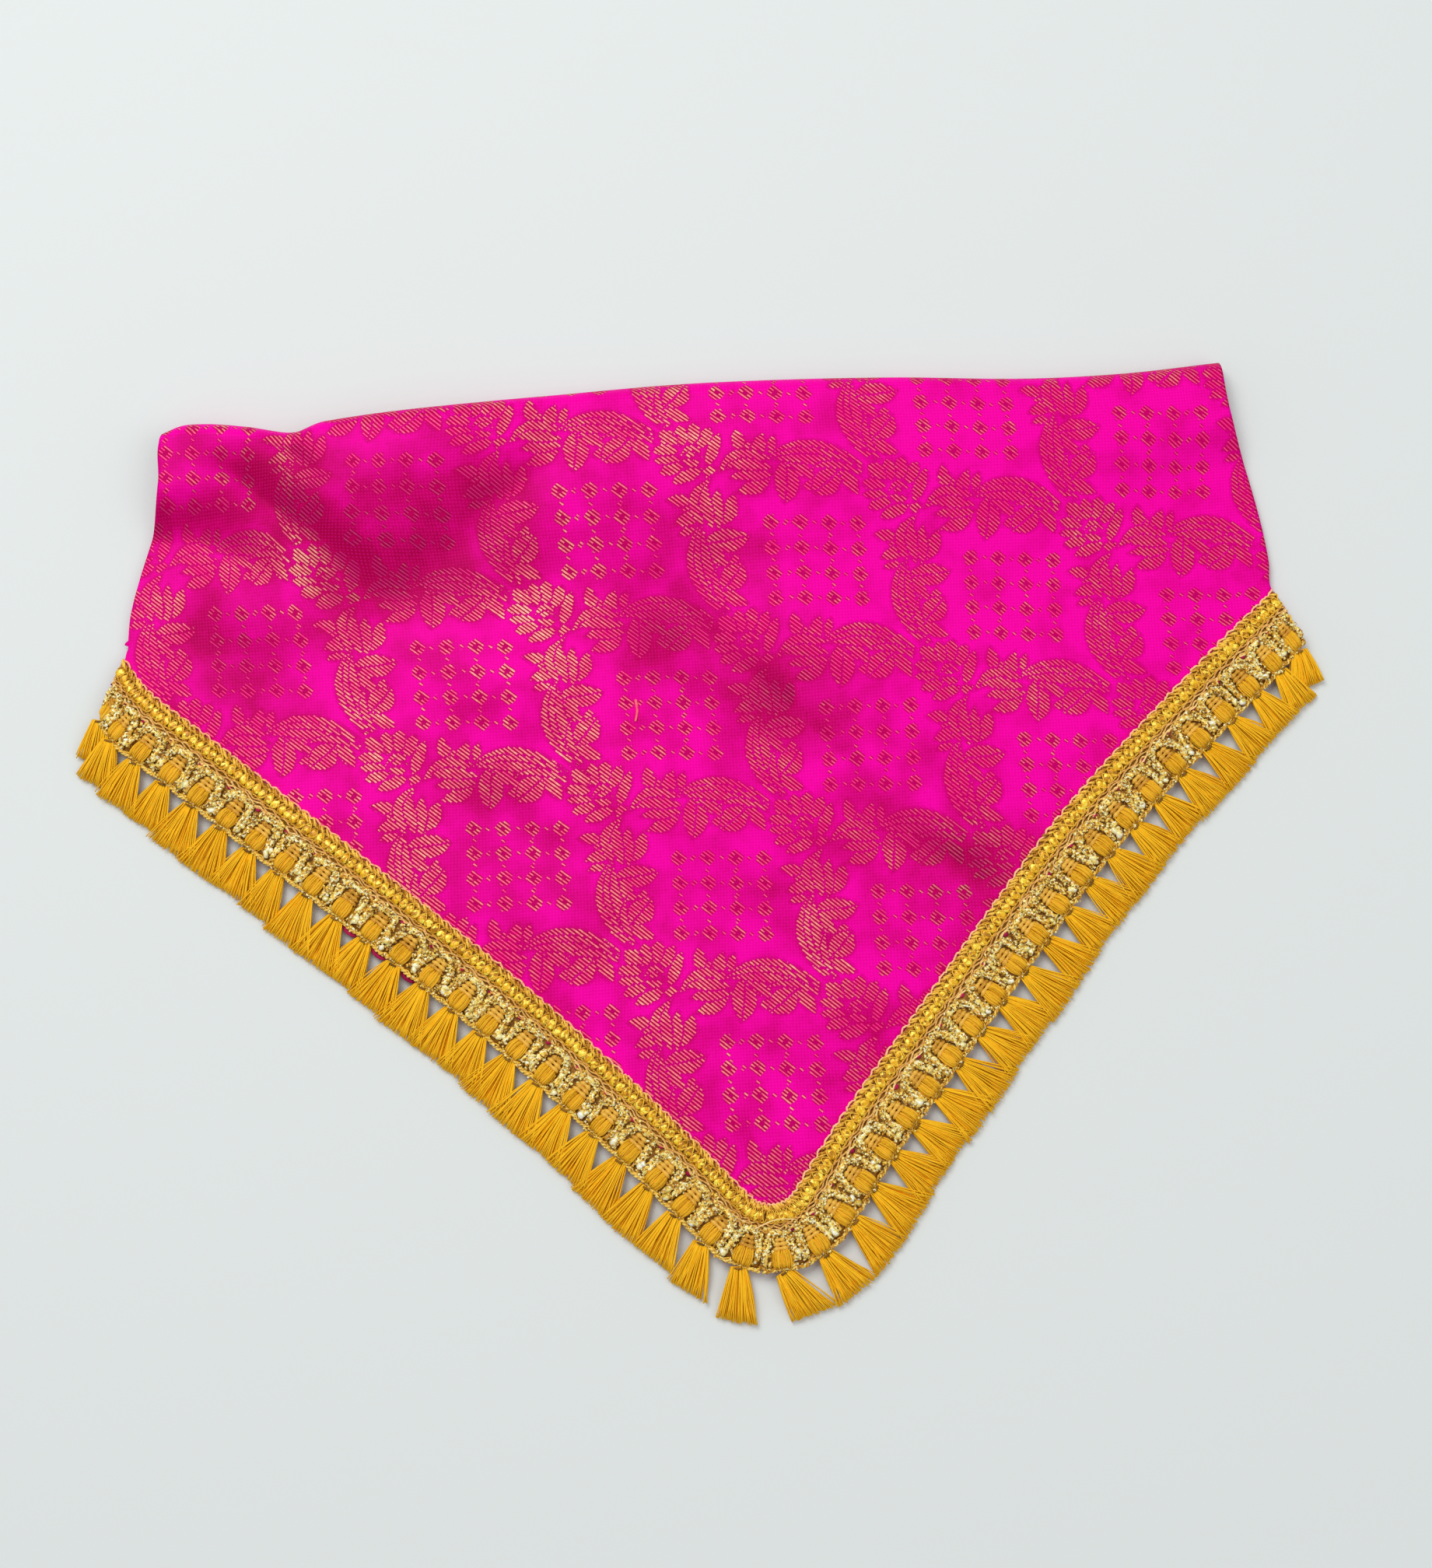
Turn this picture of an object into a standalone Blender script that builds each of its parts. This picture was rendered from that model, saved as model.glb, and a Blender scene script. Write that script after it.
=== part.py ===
"""Slip-on bandana for a collar, laid flat: a brocade pentagon with a channel along its top edge,
and lace with tassels round its two lower edges.

Metres, +Z up. The top edge runs along X and the point is towards -Y. The origin is on the surface
that the bandana lies on, at the middle of its footprint.
"""

import math
from collections import namedtuple

import bmesh
import bpy
from mathutils import Vector

Place = namedtuple("Place", "x y")
Sag = namedtuple("Sag", "share inward")
End = namedtuple("End", "tuck skew")
Turn = namedtuple("Turn", "tassel degrees long")
Fold = namedtuple("Fold", "x1 y1 x2 y2 height spread")
Rib = namedtuple("Rib", "out height")

# Cloth
CLOTH = 0.0010  # one layer of lined brocade
SEAM = 0.0003  # what parts two pieces at a seam
CHANNEL_DEPTH = 0.030  # depth of the mouth at each side, down to where the side's seam begins
CHANNEL_RISE = 0.0050  # clear height in the channel, over its right and middle
CHANNEL_SWELL = 0.0022  # what the loose left end adds to it
SWELL_FROM = -0.010  # places along X between which the swell grows
SWELL_FULL = -0.060
CHANNEL_FLAT = 0.0165  # depth down to which the full height is kept
CHANNEL_FADE = 0.056  # depth at which the front has come down, in the middle
FADE_FROM = 0.140  # distances from the middle between which that depth grows
FADE_FULL = 0.085
ROLL = 0.0050  # how far down the front the top edge's roll reaches
AIR = 0.0011  # air between front and back below the channel
AIR_RUN = 0.030  # distance from a seam at which the air is full

# Outline, from the middle of the footprint
TOP_EDGE = (
    Place(-0.1347, 0.1159),
    Place(-0.1290, 0.1178),
    Place(-0.1140, 0.1163),
    Place(-0.1015, 0.1143),
    Place(-0.0935, 0.1168),
    Place(-0.0600, 0.1192),
    Place(-0.0100, 0.1217),
    Place(0.0180, 0.1218),
    Place(0.0560, 0.1205),
    Place(0.0900, 0.1181),
    Place(0.1170, 0.1179),
    Place(0.1425, 0.1194),
)
LEFT_SIDE = (
    Place(-0.1347, 0.1159),
    Place(-0.1367, 0.1100),
    Place(-0.1369, 0.1007),
    Place(-0.1390, 0.0909),
    Place(-0.1435, 0.0769),
    Place(-0.1461, 0.0669),
    Place(-0.1475, 0.0561),
)
RIGHT_SIDE = (
    Place(0.1425, 0.1194),
    Place(0.1432, 0.1085),
    Place(0.1442, 0.1010),
    Place(0.1468, 0.0908),
    Place(0.1495, 0.0752),
    Place(0.1506, 0.0640),
    Place(0.1505, 0.0567),
)
POINT = Place(0.0111, -0.0972)  # where the trim's two inner edges would meet
POINT_ROUND = 0.0065
LEFT_SAG = (
    Sag(0.0, 0.0),
    Sag(0.05, -0.0022),
    Sag(0.13, -0.0012),
    Sag(0.25, 0.0002),
    Sag(0.45, 0.0024),
    Sag(0.62, 0.0037),
    Sag(0.82, 0.0028),
    Sag(1.0, 0.0),
)
RIGHT_SAG = (
    Sag(0.0, 0.0),
    Sag(0.15, 0.0036),
    Sag(0.38, 0.0071),
    Sag(0.55, 0.0062),
    Sag(0.70, 0.0048),
    Sag(0.86, 0.0032),
    Sag(1.0, 0.0),
)

# Largest folds of the front: a ridge or valley along a line, with a rounded section
FOLD_END = 0.35  # share of its height that a fold keeps at its ends
FOLDS = (
    Fold(-0.132, 0.111, -0.112, 0.110, 0.0022, 0.0090),
    Fold(-0.126, 0.110, -0.079, 0.066, -0.0024, 0.0075),
    Fold(-0.090, 0.104, -0.052, 0.112, 0.0018, 0.0110),
    Fold(-0.030, 0.106, -0.078, 0.068, -0.0020, 0.0080),
    Fold(-0.136, 0.078, -0.098, 0.058, 0.0020, 0.0100),
    Fold(-0.072, 0.052, -0.030, 0.036, 0.0020, 0.0120),
    Fold(-0.070, 0.020, -0.030, -0.010, -0.0010, 0.0080),
    Fold(-0.012, 0.062, 0.060, -0.017, -0.0016, 0.0075),
    Fold(0.010, 0.078, 0.070, 0.016, 0.0018, 0.0110),
    Fold(-0.030, 0.034, 0.024, -0.022, 0.0016, 0.0110),
    Fold(-0.023, -0.004, -0.012, -0.032, -0.0008, 0.0070),
    Fold(0.070, 0.084, 0.120, 0.066, 0.0010, 0.0180),
)

# Trim: distances are outwards from its inner edge
TRIM_HEADS = 0.0135  # line of the tassels' heads, on which their pitch is measured
CLOTH_OUT = 0.0161  # the cloth's own edge, under the trim
BRAID = (
    Rib(0.0, 0.0007),
    Rib(0.0011, 0.0014),
    Rib(0.0028, 0.0010),
    Rib(0.0045, 0.0014),
    Rib(0.0056, 0.0009),
)
LACE_IN = 0.0060
LACE_OUT = 0.0160
LACE_SCALLOP = 0.0010  # how far the lace's inner edge dips between two arches
LACE_WEB = 0.0010
ARCH_RIB = 0.0019  # height of the arch's cord
ARCH_TOP = 0.20  # share of the lace's width at which an arch's top lies
ARCH_FOOT = 0.55  # the same for its feet
KNOT_PLACE = 0.60  # share of the way from the arch to the head at which the knot lies
KNOT_RISE = 0.0003
HEAD_RIB = 0.0021  # height of a tassel's yarn head
HEAD_FRONT = 0.8  # share of a head's height that is left at its outer half
CORD_IN = 0.0165
CORD_WIDE = 0.0010
CORD_LOW = 0.0018
CORD_HIGH = 0.0030
OUTER_SIDE = 2  # number of the outer face in a stretch of the cord
END_RUN = 0.022  # stretch at each end over which the trim turns in
LEFT_END = End(0.23, 0.54)  # shares of its distance out by which the trim draws in and leans
RIGHT_END = End(0.06, 0.25)
LEG_SAMPLES = 120
WAY_SAMPLES = 5  # samples by the point that give each leg's own direction there
BEND_SAMPLES = 24
BRAID_STEPS = 2  # sections of the braid for each tassel
LACE_STEPS = 4

# Tassels
LEFT_TASSELS = 24
RIGHT_TASSELS = 23
LOCKS = 5
ROOT_WIDE = 0.0019
LOCK_SPREAD = math.radians(6.6)
LOCK_WIDE = 0.00145
LOCK_THICK = 0.0009
LOCK_END = 0.0010  # height of the middle of a lock's end
LOCK_CURVE = 0.012  # share by which each lock is shorter towards a tassel's sides
TURN_WAVER = math.radians(0.8)
LONG_WAVER = 0.04
TURN_WAVES = 2.4  # radians of the waver from one tassel to the next
LONG_WAVES = 1.7
TASSELS = (
    Turn(0, -30, 0.0118),
    Turn(8, -29, 0.0122),
    Turn(14, -34, 0.0124),
    Turn(20, -37, 0.0122),
    Turn(22, -22, 0.0120),
    Turn(23, -5, 0.0122),
    Turn(24, 33, 0.0122),
    Turn(25, 38, 0.0122),
    Turn(26, 45, 0.0122),
    Turn(28, 55, 0.0124),
    Turn(33, 53, 0.0122),
    Turn(39, 48, 0.0116),
    Turn(44, 44, 0.0108),
    Turn(46, 24, 0.0096),
)

# Grid of the front panel
COLUMNS = 48
ROLL_ROWS = 4
CHANNEL_ROWS = 8
LOWER_ROWS = 16
POINT_CROWDING = 1.2  # columns stand closer at the point
SIDE_FADE = 4  # power by which a side's own line fades towards the middle
SEAM_SAMPLES = 120
SIDE_SAMPLES = 12
SIDE_SEAM_TOP = 1.2  # depth at which a side's seam begins, in depths of the channel

PINK = (0.800, 0.004, 0.290, 1.0)
LINING = (0.620, 0.004, 0.210, 1.0)
GOLD = (0.760, 0.500, 0.110, 1.0)
PALE_GOLD = (0.830, 0.690, 0.330, 1.0)
MUSTARD = (0.830, 0.420, 0.030, 1.0)


def smooth_step(low, high, value):
    share = min(1.0, max(0.0, (value - low) / (high - low)))
    return share * share * (3 - 2 * share)


def smooth_table(rows, value, column=1):
    """The column's value where the first column has this one, on a smooth curve through the rows."""
    last = len(rows) - 2
    i = 0
    while i < last and rows[i + 1][0] < value:
        i += 1
    low, high = rows[i], rows[i + 1]
    before = rows[max(i - 1, 0)]
    after = rows[min(i + 2, last + 1)]
    wide = high[0] - low[0]
    rise_low = (high[column] - before[column]) / (high[0] - before[0]) * wide
    rise_high = (after[column] - low[column]) / (after[0] - low[0]) * wide
    t = min(1.0, max(0.0, (value - low[0]) / wide))
    return (
        low[column] * (1 + 2 * t) * (1 - t) ** 2
        + rise_low * t * (1 - t) ** 2
        + high[column] * t * t * (3 - 2 * t)
        - rise_high * t * t * (1 - t)
    )


def line_of(rows):
    """The lengths along a line through these places, each with its place."""
    places = [Vector((row.x, row.y)) for row in rows]
    reached = [0.0]
    for a, b in zip(places, places[1:]):
        reached.append(reached[-1] + (b - a).length)
    return reached, places


def along_line(rows, share):
    """A place on a smooth curve through the rows, at this share of its length."""
    reached, places = line_of(rows)
    value = share * reached[-1]
    return Vector(
        (
            smooth_table([(d, p.x) for d, p in zip(reached, places)], value),
            smooth_table([(d, p.y) for d, p in zip(reached, places)], value),
        )
    )


def top_edge(share):
    x = TOP_EDGE[0].x + share * (TOP_EDGE[-1].x - TOP_EDGE[0].x)
    return Vector((x, smooth_table(TOP_EDGE, x)))


def leg(corner, sags, share):
    """A place on the trim's inner edge, from a side corner at 0 to the point at 1."""
    start = Vector(corner)
    run = Vector(POINT) - start
    inward = Vector((-run.y, run.x)).normalized()
    if inward.y < 0:
        inward.negate()
    return start + run * share + inward * smooth_table(sags, share)


def trim_samples():
    """Places and outward normals along the trim's inner edge, from the left corner to the right one."""
    shares = [i / LEG_SAMPLES for i in range(LEG_SAMPLES + 1)]
    left = [leg(LEFT_SIDE[-1], LEFT_SAG, share) for share in shares]
    right = [leg(RIGHT_SIDE[-1], RIGHT_SAG, share) for share in reversed(shares)]
    left_way = (left[-1] - left[-1 - WAY_SAMPLES]).normalized()
    right_way = (right[WAY_SAMPLES] - right[0]).normalized()
    half = left_way.angle(right_way) / 2
    cut = POINT_ROUND * math.tan(half)
    point = Vector(POINT)
    inward = (right_way - left_way).normalized()
    middle = point + inward * (POINT_ROUND / math.cos(half))
    samples = []
    for way, places in ((1, left), (-1, right[::-1])):
        leg_samples = []
        for a, b in zip(places, places[1:]):
            if (b - point).length < cut:
                break
            run = (b - a).normalized() * way
            leg_samples.append((a, Vector((run.y, -run.x))))
        samples.append(leg_samples)
    first, last = samples[0][-1][1], samples[1][-1][1]
    turn = first.angle(last)
    bend = []
    for i in range(1, BEND_SAMPLES):
        angle = turn * i / BEND_SAMPLES
        normal = Vector(
            (
                first.x * math.cos(angle) - first.y * math.sin(angle),
                first.x * math.sin(angle) + first.y * math.cos(angle),
            )
        )
        bend.append((middle + normal * POINT_ROUND, normal))
    return samples[0] + bend + samples[1][::-1]


TRIM = trim_samples()


def head_lengths():
    reached = [0.0]
    heads = [place + normal * TRIM_HEADS for place, normal in TRIM]
    for a, b in zip(heads, heads[1:]):
        reached.append(reached[-1] + (b - a).length)
    return reached


TRIM_REACHED = head_lengths()
TRIM_LONG = TRIM_REACHED[-1]
PITCH = TRIM_LONG / (LEFT_TASSELS + RIGHT_TASSELS)
TRIM_MIDDLE = PITCH * LEFT_TASSELS


def trim_frame(length):
    """The inner edge's place and normal at this length along the line of the heads."""
    i = 0
    while i < len(TRIM) - 2 and TRIM_REACHED[i + 1] < length:
        i += 1
    share = (length - TRIM_REACHED[i]) / (TRIM_REACHED[i + 1] - TRIM_REACHED[i])
    share = min(1.0, max(0.0, share))
    place = TRIM[i][0].lerp(TRIM[i + 1][0], share)
    normal = TRIM[i][1].lerp(TRIM[i + 1][1], share).normalized()
    return place, normal


def trim_place(length, out):
    """The place at this length along the trim and this far out from its inner edge."""
    place, normal = trim_frame(length)
    from_end = min(length, TRIM_LONG - length)
    near = max(0.0, 1 - from_end / END_RUN) ** 2
    at_left = length < TRIM_LONG / 2
    end = LEFT_END if at_left else RIGHT_END
    along = Vector((-normal.y, normal.x)) * (1 if at_left else -1)
    tuck = end.tuck * near * min(1.0, out / CLOTH_OUT)
    return place + normal * out * (1 - tuck) + along * out * end.skew * near


def bottom_edge(across):
    """A place on the cloth's lower edge: the left corner at -1, the point at 0, the right corner at 1."""
    part = abs(across) ** POINT_CROWDING
    if across < 0:
        length = TRIM_MIDDLE * (1 - part)
    else:
        length = TRIM_MIDDLE + (TRIM_LONG - TRIM_MIDDLE) * part
    return trim_place(length, CLOTH_OUT)


LEFT_EDGE = LEFT_SIDE + (Place(*bottom_edge(-1)),)
RIGHT_EDGE = RIGHT_SIDE + (Place(*bottom_edge(1)),)


def panel_place(across, depth):
    """A place on the pentagon: across from -1 to 1, and depth in metres down from the top edge."""
    share = (across + 1) / 2
    top = top_edge(share)
    bottom = bottom_edge(across)
    t = depth / (bottom - top).length
    place = top.lerp(bottom, t)
    for rows, weight in ((LEFT_EDGE, (1 - share) ** SIDE_FADE), (RIGHT_EDGE, share**SIDE_FADE)):
        straight = Vector(rows[0]).lerp(Vector(rows[-1]), t)
        place += (along_line(rows, t) - straight) * weight
    return place


def panel_length(across):
    return (bottom_edge(across) - top_edge((across + 1) / 2)).length


def seam_points():
    """Places along the sewn edges: both sides below the channel, and the two lower edges."""
    points = [bottom_edge(-1 + 2 * i / SEAM_SAMPLES) for i in range(SEAM_SAMPLES + 1)]
    for side in (-1, 1):
        top = CHANNEL_DEPTH * SIDE_SEAM_TOP
        step = (panel_length(side) - top) / SIDE_SAMPLES
        points += [panel_place(side, top + step * i) for i in range(SIDE_SAMPLES + 1)]
    return points


SEAMS = seam_points()


def fold_height(place):
    """What the ridges and valleys add at this place."""
    total = 0.0
    for fold in FOLDS:
        start = Vector((fold.x1, fold.y1))
        run = Vector((fold.x2, fold.y2)) - start
        share = (place - start).dot(run) / run.length_squared
        nearest = start + run * min(1.0, max(0.0, share))
        away = (place - nearest).length / fold.spread
        along = FOLD_END + (1 - FOLD_END) * math.sin(math.pi * min(1.0, max(0.0, share)))
        total += fold.height * along * math.exp(-away * away)
    return total


def air_under(place):
    """Clear height between the front and the back panel."""
    depth = smooth_table(TOP_EDGE, place.x) - place.y
    fade = CHANNEL_DEPTH
    fade += (CHANNEL_FADE - CHANNEL_DEPTH) * smooth_step(FADE_FROM, FADE_FULL, abs(place.x))
    in_channel = 1 - smooth_step(CHANNEL_FLAT, fade, depth)
    from_seam = min((place - seam).length for seam in SEAMS)
    lift = smooth_step(0.0, AIR_RUN, from_seam)
    swell = CHANNEL_SWELL * smooth_step(SWELL_FROM, SWELL_FULL, place.x)
    below = (AIR + fold_height(place)) * lift
    inside = CHANNEL_RISE + swell + fold_height(place)
    return SEAM + max(0.0, below * (1 - in_channel) + inside * in_channel)


def panel_depths(across):
    """Depths of the rows in a column below the roll: close in the channel, wider below it."""
    long = panel_length(across)
    close = (CHANNEL_DEPTH - ROLL) / CHANNEL_ROWS
    wide = (long - CHANNEL_DEPTH) / LOWER_ROWS
    rows = [ROLL + close * i for i in range(CHANNEL_ROWS + 1)]
    return rows + [CHANNEL_DEPTH + wide * i for i in range(1, LOWER_ROWS + 1)]


def front_column(across):
    """One column of the front panel's inner face, from the seam at the top edge to the lower edge."""
    rolled = air_under(panel_place(across, ROLL))
    column = []
    for i in range(ROLL_ROWS):
        angle = math.pi / 2 * i / ROLL_ROWS
        depth = CLOTH + (ROLL - CLOTH) * (1 - math.cos(angle))
        height = SEAM + (rolled - SEAM) * math.sin(angle)
        column.append((*panel_place(across, depth), CLOTH + height))
    for depth in panel_depths(across):
        place = panel_place(across, depth)
        column.append((*place, CLOTH + air_under(place)))
    return column


def front_top(place):
    """Height of the front panel's outer face, away from its roll at the top edge."""
    return CLOTH + air_under(place) + CLOTH


def material(name, colour, roughness, metallic=0.0):
    made = bpy.data.materials.new(name)
    made.use_nodes = True
    shader = made.node_tree.nodes["Principled BSDF"]
    shader.inputs["Base Color"].default_value = colour
    shader.inputs["Roughness"].default_value = roughness
    shader.inputs["Metallic"].default_value = metallic
    return made


def add_object(name, bm, finish, collection):
    mesh = bpy.data.meshes.new(name)
    bm.to_mesh(mesh)
    bm.free()
    mesh.materials.append(finish)
    obj = bpy.data.objects.new(name, mesh)
    collection.objects.link(obj)
    return obj


def loft(bm, rings):
    """Closed skin through rings of equally many points, with flat ends. Gives the faces between rings."""
    made = [[bm.verts.new(point) for point in ring] for ring in rings]
    sides = []
    for a, b in zip(made, made[1:]):
        corners = zip(a, a[1:] + a[:1], b[1:] + b[:1], b)
        sides.append([bm.faces.new(four) for four in corners])
    bm.faces.new(made[0][::-1])
    bm.faces.new(made[-1])
    return sides


def front_panel(finish, collection):
    """A grid bent over the channel and rolled down at the top edge, thickened outwards."""
    columns = [front_column(-1 + 2 * i / COLUMNS) for i in range(COLUMNS + 1)]
    rows = len(columns[0]) - 1
    bm = bmesh.new()
    bmesh.ops.create_grid(bm, x_segments=COLUMNS, y_segments=rows, size=1.0)
    for vert in bm.verts:
        column = round((vert.co.x + 1) / 2 * COLUMNS)
        row = round((1 - vert.co.y) / 2 * rows)
        vert.co = columns[column][row]
    panel = add_object("front_panel", bm, finish, collection)
    thicken = panel.modifiers.new("thicken", "SOLIDIFY")
    thicken.thickness = CLOTH
    thicken.offset = 1.0
    thicken.use_even_offset = True
    return panel


def back_panel(finish, collection):
    """The same outline, flat on the surface."""
    acrosses = [-1 + 2 * i / COLUMNS for i in range(COLUMNS + 1)]
    outline = [top_edge((across + 1) / 2) for across in acrosses]
    outline += [panel_place(1, depth) for depth in panel_depths(1)[:-1]]
    outline += [bottom_edge(across) for across in reversed(acrosses)]
    outline += [panel_place(-1, depth) for depth in reversed(panel_depths(-1)[:-1])]
    bm = bmesh.new()
    face = bm.faces.new([bm.verts.new((*place, 0.0)) for place in outline])
    raised = bmesh.ops.extrude_face_region(bm, geom=[face])["geom"]
    upper = [item for item in raised if isinstance(item, bmesh.types.BMVert)]
    bmesh.ops.translate(bm, verts=upper, vec=(0, 0, CLOTH))
    bmesh.ops.recalc_face_normals(bm, faces=bm.faces)
    return add_object("back_panel", bm, finish, collection)


def trim_ring(length, ribs):
    """A closed section of a trim piece: under it the cloth's own form, over it its ribs."""
    under = (ribs[0].out, (ribs[0].out + ribs[-1].out) / 2, ribs[-1].out)
    ring = []
    for out in under:
        place = trim_place(length, out)
        ring.append((*place, front_top(place) + SEAM))
    for rib in reversed(ribs):
        place = trim_place(length, rib.out)
        ring.append((*place, front_top(place) + SEAM + rib.height))
    return ring


def trim_side(name, start, end, steps, ribs_at, finish, collection):
    """A trim piece between two lengths, parted by a seam's gap from its neighbour at the point."""
    start += SEAM / 2
    end -= SEAM / 2
    lengths = [start + (end - start) * i / steps for i in range(steps + 1)]
    bm = bmesh.new()
    loft(bm, [trim_ring(length, ribs_at(length)) for length in lengths])
    bmesh.ops.recalc_face_normals(bm, faces=bm.faces)
    return add_object(name, bm, finish, collection)


def braid_ribs(length):
    return BRAID


def lace_ribs(length):
    """The crocheted wave at this length: an arch over each tassel, with the tassel's head under it."""
    crown = (1 - math.cos(2 * math.pi * length / PITCH)) / 2
    inner = LACE_IN + LACE_SCALLOP * (1 - crown)
    arch = LACE_IN + (LACE_OUT - LACE_IN) * (ARCH_FOOT + (ARCH_TOP - ARCH_FOOT) * crown)
    head_rise = (HEAD_RIB - LACE_WEB) * crown
    return (
        Rib(inner, LACE_WEB),
        Rib(arch, ARCH_RIB),
        Rib(arch + (TRIM_HEADS - arch) * KNOT_PLACE, LACE_WEB + KNOT_RISE * crown),
        Rib(TRIM_HEADS, LACE_WEB + head_rise),
        Rib((TRIM_HEADS + LACE_OUT) / 2, LACE_WEB + HEAD_FRONT * head_rise),
        Rib(LACE_OUT, LACE_WEB),
    )


def cord_ring(length):
    """A square section of the lower cord, outside the cloth's edge."""
    inner = trim_place(length, CORD_IN)
    outer = trim_place(length, CORD_IN + CORD_WIDE)
    return [(*inner, CORD_LOW), (*inner, CORD_HIGH), (*outer, CORD_HIGH), (*outer, CORD_LOW)]


def tassel_lengths(tassels, start, end):
    """Lengths of the cord's sections, and for each lock the number of the stretch that it grows from."""
    lengths = [start + SEAM / 2]
    locks = []
    for tassel in tassels:
        root = (tassel + 0.5) * PITCH - ROOT_WIDE / 2
        lengths.append((lengths[-1] + root) / 2)
        for lock in range(LOCKS):
            lengths.append(root + ROOT_WIDE * lock / LOCKS)
            locks.append((tassel, lock, len(lengths) - 1))
        lengths.append(root + ROOT_WIDE)
    lengths.append(end - SEAM / 2)
    return lengths, locks


def spread_lock(bm, face, tassel, lock):
    """Draws a lock out of the cord's outer face, in its tassel's fan, down towards the surface."""
    middle_lock = (LOCKS - 1) / 2
    angle = math.radians(smooth_table(TASSELS, tassel))
    angle += TURN_WAVER * math.sin(TURN_WAVES * tassel)
    angle += LOCK_SPREAD * (lock - middle_lock)
    way = Vector((math.sin(angle), -math.cos(angle)))
    side = Vector((math.cos(angle), math.sin(angle)))
    root = face.calc_center_median().to_2d()
    long = smooth_table(TASSELS, tassel, column=2)
    long *= 1 + LONG_WAVER * math.sin(LONG_WAVES * tassel)
    long *= 1 - LOCK_CURVE * (lock - middle_lock) ** 2
    end = root + way * long
    drawn = bmesh.ops.extrude_discrete_faces(bm, faces=[face])["faces"][0]
    for vert in drawn.verts:
        across = 1 if (vert.co.to_2d() - root).dot(side) > 0 else -1
        up = 1 if vert.co.z > (CORD_LOW + CORD_HIGH) / 2 else -1
        place = end + side * across * LOCK_WIDE / 2
        vert.co = (*place, LOCK_END + up * LOCK_THICK / 2)


def tassel_side(name, tassels, start, end, finish, collection):
    lengths, locks = tassel_lengths(tassels, start, end)
    bm = bmesh.new()
    sides = loft(bm, [cord_ring(length) for length in lengths])
    for tassel, lock, stretch in locks:
        spread_lock(bm, sides[stretch][OUTER_SIDE], tassel, lock)
    bmesh.ops.recalc_face_normals(bm, faces=bm.faces)
    return add_object(name, bm, finish, collection)


def main():
    for obj in list(bpy.data.objects):
        bpy.data.objects.remove(obj, do_unlink=True)
    collection = bpy.data.collections.new("bandana")
    bpy.context.scene.collection.children.link(collection)

    brocade = material("brocade", PINK, 0.42)
    lining = material("lining", LINING, 0.55)
    foil = material("foil braid", GOLD, 0.35, 0.8)
    glitter = material("glitter lace", PALE_GOLD, 0.35, 0.7)
    yarn = material("yarn", MUSTARD, 0.85)

    front_panel(brocade, collection)
    back_panel(lining, collection)
    all_tassels = LEFT_TASSELS + RIGHT_TASSELS
    halves = (
        ("left", range(LEFT_TASSELS), 0.0, TRIM_MIDDLE),
        ("right", range(LEFT_TASSELS, all_tassels), TRIM_MIDDLE, TRIM_LONG),
    )
    for side, tassels, start, end in halves:
        braid_steps = BRAID_STEPS * len(tassels)
        lace_steps = LACE_STEPS * len(tassels)
        trim_side("braid_" + side, start, end, braid_steps, braid_ribs, foil, collection)
        trim_side("lace_" + side, start, end, lace_steps, lace_ribs, glitter, collection)
        tassel_side("tassels_" + side, tassels, start, end, yarn, collection)


main()
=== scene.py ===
"""Looks of the slip-on bandana: pink silk brocade, gold braid, glitter lace and mustard tassels.

Metres in the row frame unless a name says mm: the top edge runs along X, the point is towards -Y.
"""

import math
from collections import namedtuple
from functools import partial

import bmesh
import bpy
import numpy as np
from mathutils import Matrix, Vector


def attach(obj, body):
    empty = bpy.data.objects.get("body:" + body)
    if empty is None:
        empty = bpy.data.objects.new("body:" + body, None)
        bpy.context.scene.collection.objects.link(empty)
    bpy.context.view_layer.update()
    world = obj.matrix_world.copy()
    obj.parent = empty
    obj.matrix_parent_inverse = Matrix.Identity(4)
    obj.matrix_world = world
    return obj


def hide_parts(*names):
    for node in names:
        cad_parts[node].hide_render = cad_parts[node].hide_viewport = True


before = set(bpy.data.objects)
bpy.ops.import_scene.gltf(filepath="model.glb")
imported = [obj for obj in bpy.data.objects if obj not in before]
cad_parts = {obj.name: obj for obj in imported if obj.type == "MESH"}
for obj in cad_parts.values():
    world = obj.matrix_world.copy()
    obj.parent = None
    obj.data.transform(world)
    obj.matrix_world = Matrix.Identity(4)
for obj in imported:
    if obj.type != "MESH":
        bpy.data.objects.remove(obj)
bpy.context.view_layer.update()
rng = np.random.default_rng(11)

Place = namedtuple("Place", "x y")
Sag = namedtuple("Sag", "share inward")
End = namedtuple("End", "tuck skew")
Turn = namedtuple("Turn", "tassel degrees long")
Fold = namedtuple("Fold", "x1 y1 x2 y2 height spread")
Leaf = namedtuple("Leaf", "x1 y1 x2 y2 bulge half vein", defaults=(0.0,))
Pull = namedtuple("Pull", "x y dx dy spread", defaults=(30,))
Patch = namedtuple("Patch", "x y spread more")
Fan = namedtuple("Fan", "tassel degrees")
Stray = namedtuple("Stray", "name x1 y1 x2 y2 x3 y3 rise radius")
Stretch = namedtuple("Stretch", "side first last start end finishes")
Layer = namedtuple("Layer", "finish slot sides crinkle flat node", defaults=(0, 0.0, 1.0, ""))
Thread = namedtuple(
    "Thread", "key name codes metallic roughness grit streak bump fibres", defaults=(0.0, 0.4, 18.0)
)
Film = namedtuple("Film", "key name codes grain roughness")

MM = 0.001


def table(kind, *rows):
    """These rows, with their columns named."""
    return tuple(kind(*row) for row in rows)


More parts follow.
